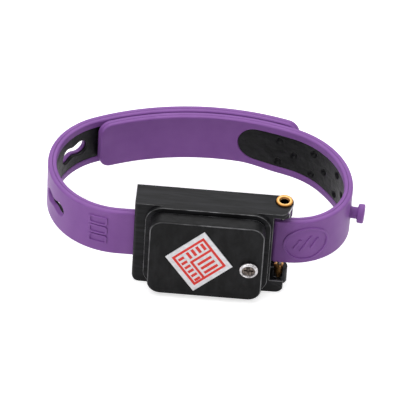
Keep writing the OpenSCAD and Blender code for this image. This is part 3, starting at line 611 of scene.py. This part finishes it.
def board_look():
    """Green solder mask."""
    look = Look("solder_mask", srgb(18, 92, 52), 0.3, coat=0.4)
    look.colour(look.ramp(look.noise(0.0015, 2.0), 0.45, 0.55, srgb(16, 84, 46), srgb(24, 104, 60)))
    return look.material


LACQUER = srgb(120, 170, 190)
BAND_PITCH = 0.0016


def resistor_look():
    """Blue lacquer with plain colour bands round the body."""
    look = Look("resistor_lacquer", LACQUER, 0.32, coat=0.3)
    axis = look.add("ShaderNodeSeparateXYZ", Vector=look.coords).outputs[0]
    wave = look.maths("SINE", look.maths("MULTIPLY", axis, 2 * math.pi / BAND_PITCH))
    look.colour(look.ramp(wave, 0.6, 0.62, LACQUER, srgb(150, 84, 40)))
    look.relief(look.noise(0.001, 2.0), 0.00003)
    return look.material


LABEL_RED = srgb(205, 42, 34)
FILM_DARK, FILM_LIGHT = srgb(200, 199, 203), srgb(219, 219, 222)
LABEL_TALL, LABEL_WIDE, LABEL_TILT = 18.3, 15.6, -5.6
# The print, in shares of the lozenge's two sides. u runs up the left and v down it.
BORDER_INSET, LINE_HALF = 0.122, 0.0275
INNER_FROM_U, INNER_FROM_V = 0.367, 0.421      # where the inner lozenge starts
BAR_FROM, BAR_TO = 0.23, 0.77                  # of each bar in its pitch


def label_look():
    """Film printed with a red border, a smaller lozenge in its right corner and plain red bars."""
    look = Look("label_film", FILM_LIGHT, 0.34, metallic=0.5)
    u, v = label_coords(look)
    far = 1 - BORDER_INSET
    # Each line of the frames: the side it lies across and where, and the side it runs along, from and to
    frame_lines = [(u, BORDER_INSET, v, BORDER_INSET, far), (u, far, v, BORDER_INSET, far),
                   (v, BORDER_INSET, u, BORDER_INSET, far), (v, far, u, BORDER_INSET, far),
                   (u, INNER_FROM_U, v, INNER_FROM_V, far), (v, INNER_FROM_V, u, INNER_FROM_U, far)]
    # Each row of bars: the side it runs along, from, to and how many, and the bars' ends across it
    bar_rows = [(u, 0.36, 0.84, 4, v, 0.18, 0.35), (v, 0.18, 0.87, 6, u, 0.17, 0.31),
                (v, 0.49, 0.84, 3, u, 0.44, 0.78)]
    marks = []
    for across, at, along, start, end in frame_lines:
        line = strip(look, across, at - LINE_HALF, at + LINE_HALF)
        marks.append(look.maths("MULTIPLY", line, strip(look, along, start - LINE_HALF, end + LINE_HALF)))
    marks += [bars(look, *row) for row in bar_rows]
    printed = marks[0]
    for mark in marks[1:]:
        printed = look.maths("MAXIMUM", printed, mark)
    film = look.ramp(look.noise(0.0012, 4.0), 0.38, 0.62, FILM_DARK, FILM_LIGHT)
    look.colour(look.add("ShaderNodeMixRGB", Fac=printed, Color1=film, Color2=LABEL_RED).outputs[0])
    look.rough(look.noise(0.0012, 3.0), 0.3, 0.42)
    look.relief(look.noise(0.0045, 3.0, (1, 1, 0.4)), 0.0002)
    return look.material


def label_coords(look):
    """Shares along the lozenge's upper left and lower left sides, both 0 at its left corner."""
    place = look.add("ShaderNodeVectorMath", Vector=look.coords)
    place.operation = "SUBTRACT"
    place.inputs[1].default_value = middle("cover_label") * MM
    turn = look.add("ShaderNodeVectorRotate", Vector=place.outputs[0])
    turn.rotation_type = "Y_AXIS"
    turn.inputs["Angle"].default_value = math.radians(LABEL_TILT)
    part = look.add("ShaderNodeSeparateXYZ", Vector=turn.outputs[0])
    side = look.maths("DIVIDE", part.outputs[0], LABEL_WIDE * MM)
    rise = look.maths("DIVIDE", part.outputs[2], LABEL_TALL * MM)
    return (look.maths("ADD", look.maths("ADD", side, rise), 0.5),
            look.maths("ADD", look.maths("SUBTRACT", side, rise), 0.5))


def strip(look, value, low, high):
    """1 where value lies from low to high, else 0."""
    return look.maths("MULTIPLY", look.maths("GREATER_THAN", value, low), look.maths("LESS_THAN", value, high))


def bars(look, along, start, end, count, across, low, high):
    """A row of count plain bars between start and end, each reaching from low to high across."""
    pitch = (end - start) / count
    phase = look.maths("FRACT", look.maths("DIVIDE", look.maths("SUBTRACT", along, start), pitch))
    row = look.maths("MULTIPLY", strip(look, phase, BAR_FROM, BAR_TO), strip(look, along, start, end))
    return look.maths("MULTIPLY", row, strip(look, across, low, high))


SILICONE = silicone_look()
LINER = liner_look()
SHELL_BASE = shell_look("moulded_base", (0.12, 1, 1.0), srgb(22, 22, 23), srgb(44, 44, 47))
SHELL_COVER = shell_look("moulded_cover", (0.5, 1, 0.25), srgb(14, 14, 15), srgb(34, 34, 36))
# painted highlight on the roundings of the base and the cover
SHELL_EDGE_HIGHLIGHT = edge_highlight_look()
SHELL_GLOSS = gloss_look()
BRASS = brass_painted_ring_look()
DULL_BRASS = dull_brass_look("dull_brass", 0.6, srgb(138, 90, 48), srgb(222, 168, 98))
BORE_BRASS = dull_brass_look("bore_brass", 0.1, srgb(196, 142, 78), srgb(252, 214, 140))
CHROME = steel_look("bright_chrome", 0.22, srgb(138, 134, 136), srgb(206, 204, 206))
RECESS = recess_look()
# steel darkened well below bright steel: painted shade on the strap pins
STEEL_PAINTED_SHADE = steel_look("ground_steel_painted_shade", 0.42, srgb(122, 120, 122), srgb(136, 134, 136))
LABEL = label_look()
BOARD = board_look()
RESISTOR = resistor_look()


def dress(obj, materials, body=None, blend=None, replaces=()):
    """Gives a piece its material or materials, parents it to body where one is given, bakes its transform where
    blend is given, and hides the nodes it replaces.
    """
    several = isinstance(materials, tuple)
    indices = [face.material_index for face in obj.data.polygons] if several else []
    obj.data.materials.clear()
    for material in materials if several else (materials,):
        obj.data.materials.append(material)
    for face, index in zip(obj.data.polygons, indices):     # clearing the materials has set them to 0
        face.material_index = index
    if body:
        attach(obj, body)
    if blend:
        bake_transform(obj)
    if replaces:
        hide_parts(*replaces)


# -------------------------------- straps

OUTER_LEVELS = rounded_levels(SEAM_N + SEAM_GAP, OUTER_N, SEAM_R, EDGE_R)
INNER_LEVELS = rounded_levels(SEAM_N - SEAM_GAP, -OUTER_N, SEAM_R, INNER_EDGE_R)
PAD_LEVELS = rounded_levels(SEAM_N, -OUTER_N + LINER_RECESS, PAD_SEAM_R, PAD_EDGE_R)
OUTER_HOLE_ROUND, INNER_HOLE_ROUND = 0.5, 0.6
FLEX_BLEND = ("housing", "slotted_strap", ((FLEX_X + FLEX_REACH) * MM, 0, 0), ((FLEX_X - FLEX_REACH) * MM, 0, 0))


def round_root(obj):
    """Rounds the stud strap's end behind its pin, through its thickness."""
    centre = OUTER_N - ROOT_REACH
    for v in obj.data.vertices:
        if v.co.x < centre:
            v.co.z *= math.sqrt(max(1 - ((centre - v.co.x) / OUTER_N) ** 2, 0.0))


def slotted_strap():
    """Two skins with button slots, split past the flexing root, and the liner's pad."""
    ring = strap_ring(HIDDEN, SLOTTED.length, STRAP_W / 2)
    outer = plate("slotted_strap_outer_skin", ring, [slot_ring(s) for s in SLOT_PLACES], OUTER_LEVELS,
                  hole_round=OUTER_HOLE_ROUND)
    inner = plate("slotted_strap_inner_skin", ring, [stadium_ring(*SLOTTED_WINDOW, WINDOW_R)], INNER_LEVELS,
                  hole_round=INNER_HOLE_ROUND)
    pad = plate("slotted_strap_liner_pad", stadium_ring(*SLOTTED_WINDOW, WINDOW_R - LINER_FIT),
                [slot_ring(s, SLOT_LIP) for s in SLOT_PLACES], PAD_LEVELS)
    for skin, node in ((outer, "slotted_strap_outer"), (inner, "slotted_strap_inner")):
        rest = parted(skin, ROOT_END)
        for obj in (skin, rest):
            SLOTTED.bend(obj)
            smooth(obj)
        dress(skin, SILICONE, blend=FLEX_BLEND, replaces=(node,))
        dress(rest, SILICONE, "slotted_strap", replaces=(node,))
    SLOTTED.bend(pad)
    smooth(pad)
    dress(pad, LINER, "slotted_strap", replaces=("slotted_strap_liner",))


def stud_strap():
    """Two skins with a round root, and the liner's dimpled pad."""
    ring = strap_ring(ROOT_SHORT - ROOT_REACH, STUD.length, STRAP_W / 2)
    root_cuts = [OUTER_N * (1 - math.cos(math.radians(a))) - ROOT_REACH for a in range(10, 100, 10)]
    outer = plate("stud_strap_outer_skin", ring, [], OUTER_LEVELS, cuts=root_cuts)
    inner = plate("stud_strap_inner_skin", ring, [stadium_ring(*STUD_WINDOW, WINDOW_R)], INNER_LEVELS,
                  hole_round=INNER_HOLE_ROUND, cuts=root_cuts)
    round_root(outer)
    round_root(inner)
    pad = plate("stud_strap_liner_pad", stadium_ring(*STUD_WINDOW, WINDOW_R - LINER_FIT), [], PAD_LEVELS,
                slices=FINE_SLICE, cross=FINE_SLICE)
    dimple(pad)
    for obj, material, slot, node in ((outer, SILICONE, "silicone", "stud_strap_outer"),
                                      (inner, SILICONE, "silicone", "stud_strap_inner"),
                                      (pad, LINER, "liner", "stud_strap_liner")):
        STUD.bend(obj)
        smooth(obj)
        dress(obj, material, "stud_strap", replaces=(node,))


def dimple(pad):
    """Presses the pairs and single dimples into the stud strap's liner pad."""
    places = []
    for row in range(DIMPLE_ROWS):
        s = DIMPLE_FIRST - row * DIMPLE_PITCH
        if row % 2:
            places.append((s + DIMPLE_SINGLE_SHIFT, 0.0))
        else:
            places += [(s, -DIMPLE_PAIR / 2), (s, DIMPLE_PAIR / 2)]
    face_n = -OUTER_N + LINER_RECESS + PAD_EDGE_R / 2
    for v in pad.data.vertices:
        if v.co.z < face_n:
            for s, z in places:
                away = math.hypot(v.co.x - s, v.co.y - z) / DIMPLE_R
                v.co.z += DIMPLE_DEPTH * (1 - ease(away, *DIMPLE_SIDE))


KNUCKLE_EDGE = [(1.45, 0.0), (1.75, 0.08), (1.87, 0.3)]     # (radius, height) along its rounded lower edge


def root_knuckle():
    """The slotted strap's root in its pocket, round the pin."""
    upper_edge = [(r, STRAP_W - h) for r, h in reversed(KNUCKLE_EDGE)]
    profile = [(0.0, 0.0)] + KNUCKLE_EDGE + upper_edge + [(0.0, STRAP_W)]
    knuckle = lathe("slotted_strap_knuckle", profile)
    knuckle.data.transform(Matrix.Translation(Vector((SLOTTED_PIN[0], SLOTTED_PIN[1], STRAP_LOW)) * MM))
    smooth(knuckle)
    dress(knuckle, SILICONE, "housing", replaces=("slotted_strap_root",))


def turned_rings(bm, profile, steps):
    """Turns a profile of (radius, height) in millimetres round +Z and returns its rings of corners."""
    rings = []
    for r, h in profile:
        count = steps if r > 0 else 1
        rings.append([bm.verts.new((r * math.cos(2 * math.pi * i / steps) * MM,
                                    r * math.sin(2 * math.pi * i / steps) * MM, h * MM))
                      for i in range(count)])
    for a, b in zip(rings, rings[1:]):
        for i in range(steps):
            j = (i + 1) % steps
            face = [a[i % len(a)], a[j % len(a)], b[j % len(b)], b[i % len(b)]]
            bm.faces.new(list(dict.fromkeys(face)))
    return rings


def object_of(bm, name):
    """A new object with the mesh that has been built up in bm."""
    mesh = bpy.data.meshes.new(name)
    bm.to_mesh(mesh)
    bm.free()
    obj = bpy.data.objects.new(name, mesh)
    bpy.context.scene.collection.objects.link(obj)
    return obj


def lathe(name, profile):
    """A round object about +Z from a profile of (radius, height) in millimetres."""
    bm = bmesh.new()
    turned_rings(bm, profile, TURN_STEPS)
    bmesh.ops.recalc_face_normals(bm, faces=bm.faces[:])
    return object_of(bm, name)


STUD_SINK = 0.5            # of the stud's foot in the strap
FOOT_FLARE, FOOT_SPREAD = 0.3, 0.35
HEAD_EDGE_R, HEAD_CROWN = 0.42, 0.08


def stud_profile(neck_l):
    """Button stud with a flared foot and a softly rounded head, from the strap's surface."""
    spread = STUD_NECK_R + FOOT_SPREAD
    foot = [(0.0, -STUD_SINK), (spread, -STUD_SINK), (spread, -0.02)]
    flare = [(STUD_NECK_R + FOOT_FLARE * (1 - math.sin(a)), FOOT_FLARE * (1 - math.cos(a))) for a in QUARTER]
    neck = [(STUD_NECK_R, neck_l - 0.18), (STUD_NECK_R + 0.05, neck_l - 0.05), (STUD_NECK_R + 0.18, neck_l)]
    flat_r, top = STUD_HEAD_R - HEAD_EDGE_R, neck_l + STUD_HEAD_T
    rim = [(flat_r + HEAD_EDGE_R * math.sin(a), neck_l + HEAD_EDGE_R * (1 - math.cos(a))) for a in QUARTER]
    crown = [(flat_r + HEAD_EDGE_R * math.cos(a), top - HEAD_EDGE_R * (1 - math.sin(a))) for a in QUARTER]
    return foot + flare + neck + rim + crown + [(STUD_HEAD_R * 0.4, top + 0.06), (0.0, top + HEAD_CROWN)]


def stud(name, s, neck_l):
    """A stud that stands out from the stud strap's outer face at arc length s."""
    obj = lathe(name, stud_profile(neck_l))
    heading = STUD.at(s)[2]
    out = Vector((math.sin(heading), -math.cos(heading), 0))
    turn = out.to_track_quat("Z", "Y").to_matrix().to_4x4()
    obj.data.transform(Matrix.Translation(STUD.place(s, 0, OUTER_N)) @ turn)
    smooth(obj)
    return obj


def studs():
    """The free stud, and the two that are buttoned in the last two slots."""
    button = stud("free_stud_button", FREE_STUD_AT, FREE_NECK)
    dress(button, SILICONE, "stud_strap", replaces=("free_stud",))
    for i, slot_at in enumerate(SLOT_PLACES[-2:]):
        button = stud(f"engaged_stud_button_{i + 1}", under_slotted(slot_at + LOBE_GAP / 2), ENGAGED_NECK)
        dress(button, SILICONE, "stud_strap", replaces=("engaged_studs",))


RAISED, MARK_SINK = 0.32, 0.06     # of the moulded marks above the strap's face, and below it
MARK_EDGE_R = 0.14
MARK_LINE = 0.5                    # width of their lines
FRAMES, FRAME_PITCH, FRAME_TOP = 3, 2.75, 3.2
FRAME_AT, FRAME_L, FRAME_W = 10.5, 4.4, 2.45
FRAME_R, FRAME_HOLE_R = 0.7, 0.3
RING_AT, RING_RADII = (5.6, -0.35), (5.15, 4.85)
RIBS = ((3.6, 3.2), (5.5, 5.0), (7.4, 3.2))    # (place along the strap, length)
RIB_W, RIB_TURN = 0.6, 62


def raised(name, outer, holes, course, body):
    """A low raised shape on a strap's outer face."""
    levels = rounded_levels(OUTER_N - MARK_SINK, OUTER_N + RAISED, 0.01, MARK_EDGE_R)
    obj = plate(name, outer, holes, levels, slices=MARK_SLICE)
    course.bend(obj)
    smooth(obj)
    dress(obj, SILICONE, body)


def grip_marks():
    """Three plain raised frames on the slotted strap, and a ring with plain ribs on the stud strap."""
    for i in range(FRAMES):
        z = FRAME_TOP - i * FRAME_PITCH
        hole = block_ring(FRAME_AT, z, FRAME_L - 2 * MARK_LINE, FRAME_W - 2 * MARK_LINE, FRAME_HOLE_R)
        raised(f"slotted_strap_frame_{i + 1}", block_ring(FRAME_AT, z, FRAME_L, FRAME_W, FRAME_R), [hole],
               SLOTTED, "slotted_strap")
    hole = ellipse_ring(*RING_AT, *(r - MARK_LINE for r in RING_RADII))
    raised("stud_strap_ring", ellipse_ring(*RING_AT, *RING_RADII), [hole], STUD, "stud_strap")
    for i, (s, length) in enumerate(RIBS):
        raised(f"stud_strap_rib_{i + 1}", bar_ring(s, RING_AT[1], length, RIB_W, RIB_TURN), [], STUD, "stud_strap")


# -------------------------------- rigid parts

BEVEL_SEGMENTS = 3
SHARP_FROM = 35            # degrees between faces that aren't shaded as one


def bevelled(node, name, width, degrees, materials, third):
    """A copy of a CAD node with its roomy outer edges rounded to width millimetres.

    Its faces take the first of the materials and the roundings the second. Where third is given,
    it tells which faces take the third.
    """
    obj = bpy.data.objects.new(name, frame["nodes"][node].data.copy())
    bpy.context.scene.collection.objects.link(obj)
    obj.data.materials.clear()
    for material in materials:
        obj.data.materials.append(material)
    bm = bmesh.new()
    bm.from_mesh(obj.data)
    bmesh.ops.remove_doubles(bm, verts=bm.verts[:], dist=0.002 * MM)
    bmesh.ops.dissolve_limit(bm, angle_limit=math.radians(1.0), verts=bm.verts[:], edges=bm.edges[:])
    bm.normal_update()
    weight = bm.edges.layers.float.get("bevel_weight_edge") or bm.edges.layers.float.new("bevel_weight_edge")
    for edge in bm.edges:
        edge[weight] = float(roomy(edge, width * MM, math.radians(degrees)) and not in_cup(edge))
    for face in bm.faces:
        face.material_index = 2 if third and third(face) else 0
    bm.to_mesh(obj.data)
    bm.free()
    bevel = obj.modifiers.new("round", "BEVEL")
    bevel.width = width * MM
    bevel.segments = BEVEL_SEGMENTS
    bevel.limit_method = "WEIGHT"
    bevel.use_clamp_overlap = False
    bevel.material = 1
    depsgraph = bpy.context.evaluated_depsgraph_get()
    obj.data = bpy.data.meshes.new_from_object(obj.evaluated_get(depsgraph))
    obj.modifiers.clear()
    obj.data.shade_smooth()
    obj.data.set_sharp_from_angle(angle=math.radians(SHARP_FROM))
    weighted = obj.modifiers.new("flat_faces", "WEIGHTED_NORMAL")
    weighted.keep_sharp = True
    return obj


ROOM = 2.5                 # widths of its rounding that a face has to reach from the edge


def roomy(edge, width, least_angle):
    """Is this an outer edge whose two faces both reach well past its rounding?"""
    if len(edge.link_faces) != 2 or not edge.is_convex or edge.calc_face_angle() < least_angle:
        return False
    length = edge.calc_length()
    return all(face.calc_area() / length > ROOM * width for face in edge.link_faces)


# Reach of the places about the stud pin's axis, and heights, in millimetres
CUP_R, CUP_EDGE_R, CUP_TOP = 2.1, 3.8, 8
BORE_REACH = 1.2
EAR_REACH, EAR_LOW = 3, 17
# How far a face's normal points to the front or the right, from and to
FRONT_TILT, EAR_TILT = (0.55, 0.9), (0.6, 0.97)


def from_stud_pin(place):
    """x and y in millimetres from the stud pin's axis, and the distance."""
    x, y = place.x / MM - STUD_PIN[0], place.y / MM - STUD_PIN[1]
    return x, y, math.hypot(x, y)


def in_cup(edge):
    """Is this edge in the cup that holds the lower bush, or an upright one beside it?"""
    low, high = (v.co for v in edge.verts)
    centre = (low + high) / 2
    away = from_stud_pin(centre)[2]
    upright = abs(high.z - low.z) > 1 * MM
    return centre.z < CUP_TOP * MM and (away < CUP_R or away < CUP_EDGE_R and upright)


def in_bore(face):
    """Does this face look at the stud pin's axis from close by?"""
    x, y, away = from_stud_pin(face.calc_center_median())
    return away < BORE_REACH and abs(face.normal.z) < 0.5 and face.normal.x * x + face.normal.y * y < 0


def front_rounding(face):
    """Is this face in the middle of the rounding round the cover's front? These faces take the painted edge
    highlight.
    """
    return FRONT_TILT[0] < -face.normal.y < FRONT_TILT[1]


def ear_side(face):
    """Is this face on the front right of the top ear's round end?"""
    centre, normal = face.calc_center_median(), face.normal
    return (from_stud_pin(centre)[2] < EAR_REACH and centre.z > EAR_LOW * MM
            and abs(normal.z) < 0.3 and EAR_TILT[0] < normal.x < EAR_TILT[1] and normal.y < 0)


SCREW_SHANK_R, SCREW_SHANK_L = 1.1, 7.0
SCREW_TIP_L = 0.6
SCREW_EDGE = 0.62          # share of the head's height that its rounding takes
SCREW_EDGE_FLAT = 0.7      # how far that rounding reaches inwards, as a share of its height
SCREW_RIM = 0.25           # width of the flat rim round the screw's recessed face
SCREW_DISH, DISH_SLOPE = 0.3, 0.12     # depth of that face below the rim, and the slope's width
SCREW_STEPS = 64
CROSS_REACH, CROSS_HALF_W, CROSS_DEPTH = 1.15, 0.26, 0.55
CROSS_TAPER = 0.72         # size of the cross's floor to its mouth


def screw():
    """Pan-head screw with a bright rim and a dark mottled face that holds a plain cross recess."""
    low, high = box_mm("cover_screw")
    seat_y = box_mm("housing_cover")[0][1]
    r, top = (high[0] - low[0]) / 2, seat_y - low[1]
    side = top * SCREW_EDGE
    edge = [(r - side * SCREW_EDGE_FLAT * (1 - math.cos(a)), top - side * (1 - math.sin(a))) for a in QUARTER]
    inner_r = edge[-1][0] - SCREW_RIM
    shank = [(0.0, -SCREW_SHANK_L), (SCREW_SHANK_R * 0.6, -SCREW_SHANK_L),
             (SCREW_SHANK_R, -SCREW_SHANK_L + SCREW_TIP_L), (SCREW_SHANK_R, 0.0)]
    under = [(r - 0.06, 0.0), (r, 0.08)]
    dish = [(inner_r, top), (inner_r - DISH_SLOPE, top - SCREW_DISH)]
    bm = bmesh.new()
    rings = turned_rings(bm, shank + under + edge + dish, SCREW_STEPS)
    arm, half = CROSS_REACH, CROSS_HALF_W
    plus = [(arm, -half), (arm, half), (half, half), (half, arm), (-half, arm), (-half, half),
            (-arm, half), (-arm, -half), (-half, -half), (-half, -arm), (half, -arm), (half, -half)]
    face_h, floor_h = top - SCREW_DISH, top - SCREW_DISH - CROSS_DEPTH
    mouth = [bm.verts.new((x * MM, z * MM, face_h * MM)) for x, z in plus]
    floor_ring = [bm.verts.new((x * MM * CROSS_TAPER, z * MM * CROSS_TAPER, floor_h * MM)) for x, z in plus]
    dark = fill_between(bm, rings[-1], mouth)
    for i in range(len(plus)):
        j = (i + 1) % len(plus)
        dark.append(bm.faces.new((mouth[i], mouth[j], floor_ring[j], floor_ring[i])))
    dark.append(bm.faces.new(floor_ring))
    for face in dark:
        face.material_index = 1
    bmesh.ops.recalc_face_normals(bm, faces=bm.faces[:])
    obj = object_of(bm, "screw_head")
    x, z = (low[0] + high[0]) / 2, (low[2] + high[2]) / 2
    face_out = Matrix.Translation(Vector((x, seat_y, z)) * MM) @ Matrix.Rotation(math.radians(90), 4, "X")
    obj.data.transform(face_out)
    smooth(obj, degrees=30)
    dress(obj, (CHROME, RECESS), "housing", replaces=("cover_screw",))


def fill_between(bm, ring, hole):
    """Flat faces between a ring of corners and a hole's ring inside it, both counter-clockwise."""
    corners = ring + hole[::-1]
    loops = [[v.co for v in ring], [v.co for v in hole[::-1]]]
    return [bm.faces.new([corners[i] for i in triangle]) for triangle in tessellate_polygon(loops)]


def housing():
    """Rounded copies of the housing's CAD nodes, each with its rounding's width and least angle, and the screw."""
    # The roundings of the base and the cover, and the middle of the cover's front rounding, take the painted edge
    # highlight.
    for node, name, slot, width, degrees, materials, third in (
            ("housing_base", "base_shell", "shell", 0.14, 30, (SHELL_BASE, SHELL_EDGE_HIGHLIGHT, SHELL_GLOSS), ear_side),
            ("housing_cover", "cover_shell", "shell", 0.16, 18, (SHELL_COVER, SHELL_EDGE_HIGHLIGHT, SHELL_EDGE_HIGHLIGHT),
             front_rounding),
            ("socket_bush", "socket_ring", "brass", 0.2, 30, (BRASS, BRASS, BORE_BRASS), in_bore),
            ("lower_bush", "lower_ring", "brass", 0.08, 30, (DULL_BRASS, DULL_BRASS), None)):
        shape = bevelled(node, name, width, degrees, materials, third)
        dress(shape, materials, "housing", replaces=(node,))
    screw()


def dress_cad():
    """Materials of the CAD nodes that stay as they are."""
    looks = {
        "cover_label": LABEL, "stud_strap_pin": STEEL_PAINTED_SHADE, "slotted_strap_pin": STEEL_PAINTED_SHADE, "circuit_board": BOARD,
        "resistors": RESISTOR, "stud_strap_spring": BRASS, "slotted_strap_spring": BRASS,
        "slotted_root_core": LINER,
    }
    for node, material in looks.items():
        mesh = frame["nodes"][node].data
        mesh.materials.clear()
        mesh.materials.append(material)


# -------------------------------- stage, light and camera

WHITE = (1, 1, 1, 1)
FLOOR_SIZE = 3.0
FLOOR_COLOUR = (0.93, 0.93, 0.93, 1.0)
FLOOR_GLOW = 0.62          # of the floor where it is seen, directly or in a surface
WORLD_LIGHT, WORLD_SEEN = 0.12, 0.9
LIGHTS_AIM = (0, 0.012, 0.01)


def seen_rays(nodes, links):
    """1 for rays that see a surface from the camera, in a reflection or through glass, else 0."""
    rays = nodes.new("ShaderNodeLightPath")
    seen = rays.outputs["Is Camera Ray"]
    for kind in ("Is Glossy Ray", "Is Transmission Ray"):
        both = nodes.new("ShaderNodeMath")
        both.operation = "MAXIMUM"
        links.new(seen, both.inputs[0])
        links.new(rays.outputs[kind], both.inputs[1])
        seen = both.outputs[0]
    return seen


def scaled(nodes, links, value, unseen, seen):
    """A strength of unseen where value is 0 and seen where it is 1."""
    node = nodes.new("ShaderNodeMapRange")
    node.inputs["To Min"].default_value = unseen
    node.inputs["To Max"].default_value = seen
    links.new(value, node.inputs["Value"])
    return node.outputs[0]


def floor():
    """Pale ground that keeps the object's shadow and is nearly white where it is seen."""
    bm = bmesh.new()
    bmesh.ops.create_grid(bm, x_segments=1, y_segments=1, size=FLOOR_SIZE / 2)
    obj = object_of(bm, "floor")
    material = bpy.data.materials.new("pale_floor")
    material.use_nodes = True
    nodes, links = material.node_tree.nodes, material.node_tree.links
    inputs = nodes["Principled BSDF"].inputs
    for socket, value in (("Base Color", FLOOR_COLOUR), ("Roughness", 0.9), ("Specular IOR Level", 0.0),
                          ("Emission Color", WHITE)):
        inputs[socket].default_value = value
    glow = scaled(nodes, links, seen_rays(nodes, links), 0.0, FLOOR_GLOW)
    links.new(glow, inputs["Emission Strength"])
    obj.data.materials.append(material)


def world():
    """Plain studio that lights weakly and is seen nearly white."""
    studio = bpy.data.worlds.new("studio")
    bpy.context.scene.world = studio
    studio.use_nodes = True
    nodes, links = studio.node_tree.nodes, studio.node_tree.links
    inputs = nodes["Background"].inputs
    inputs["Color"].default_value = WHITE
    links.new(scaled(nodes, links, seen_rays(nodes, links), WORLD_LIGHT, WORLD_SEEN), inputs["Strength"])


def area(name, place, size, power, size_y=None):
    """Rectangular lamp of size metres that looks at the strap, in watts."""
    data = bpy.data.lights.new(name, "AREA")
    data.energy = power
    data.shape = "RECTANGLE"
    data.size = size
    data.size_y = size_y or size
    lamp = bpy.data.objects.new(name, data)
    lamp.location = place
    lamp.rotation_mode = "QUATERNION"
    lamp.rotation_quaternion = (Vector(LIGHTS_AIM) - Vector(place)).to_track_quat("-Z", "Y")
    bpy.context.scene.collection.objects.link(lamp)


def lights():
    """A large overhead lamp, a panel behind and one on either side."""
    area("overhead", (-0.08, 0.08, 0.75), 1.0, 5.6)
    area("back_panel", (0.0, 0.75, 0.62), 0.8, 1.6, size_y=0.4)
    area("left_panel", (-0.45, -0.55, 0.36), 0.4, 1.35)
    area("right_panel", (0.7, 0.1, 0.25), 0.4, 0.8)


# The camera stands far off, turned slightly right and rolled, with no lens shift. Degrees and millimetres.
CAM_AZIMUTH, CAM_ELEVATION, CAM_ROLL = 1.3627, 41.0, 3.731
CAM_DISTANCE, CAM_RIGHT, CAM_UP = 843.62, 1.7558, -8.5395
CAM_AIM = Vector((0.0, -1.70, 13.70))
FOCAL_PIXELS, IMAGE_PIXELS, SENSOR = 3669.76, 400, 36.0


def camera():
    """Places the camera from its aim, turn, height, roll and distance."""
    a, e, r = (math.radians(v) for v in (CAM_AZIMUTH, CAM_ELEVATION, CAM_ROLL))
    back = Vector((math.sin(a) * math.cos(e), -math.cos(a) * math.cos(e), math.sin(e)))
    level = Vector((math.cos(a), math.sin(a), 0))
    rise = back.cross(level)
    right = math.cos(r) * level + math.sin(r) * rise
    up = -math.sin(r) * level + math.cos(r) * rise
    data = bpy.data.cameras.new("camera")
    data.sensor_width = SENSOR
    data.lens = FOCAL_PIXELS / IMAGE_PIXELS * SENSOR
    data.clip_start, data.clip_end = 0.05, 10
    obj = bpy.data.objects.new("camera", data)
    place = CAM_AIM - CAM_RIGHT * right - CAM_UP * up + CAM_DISTANCE * back
    obj.matrix_world = Matrix.Translation(place * MM) @ Matrix((right, up, back)).transposed().to_4x4()
    bpy.context.scene.collection.objects.link(obj)
    bpy.context.scene.camera = obj


camera()
slotted_strap()
stud_strap()
root_knuckle()
studs()
grip_marks()
housing()
dress_cad()
floor()
world()
lights()
bpy.context.scene.view_settings.view_transform = "Standard"
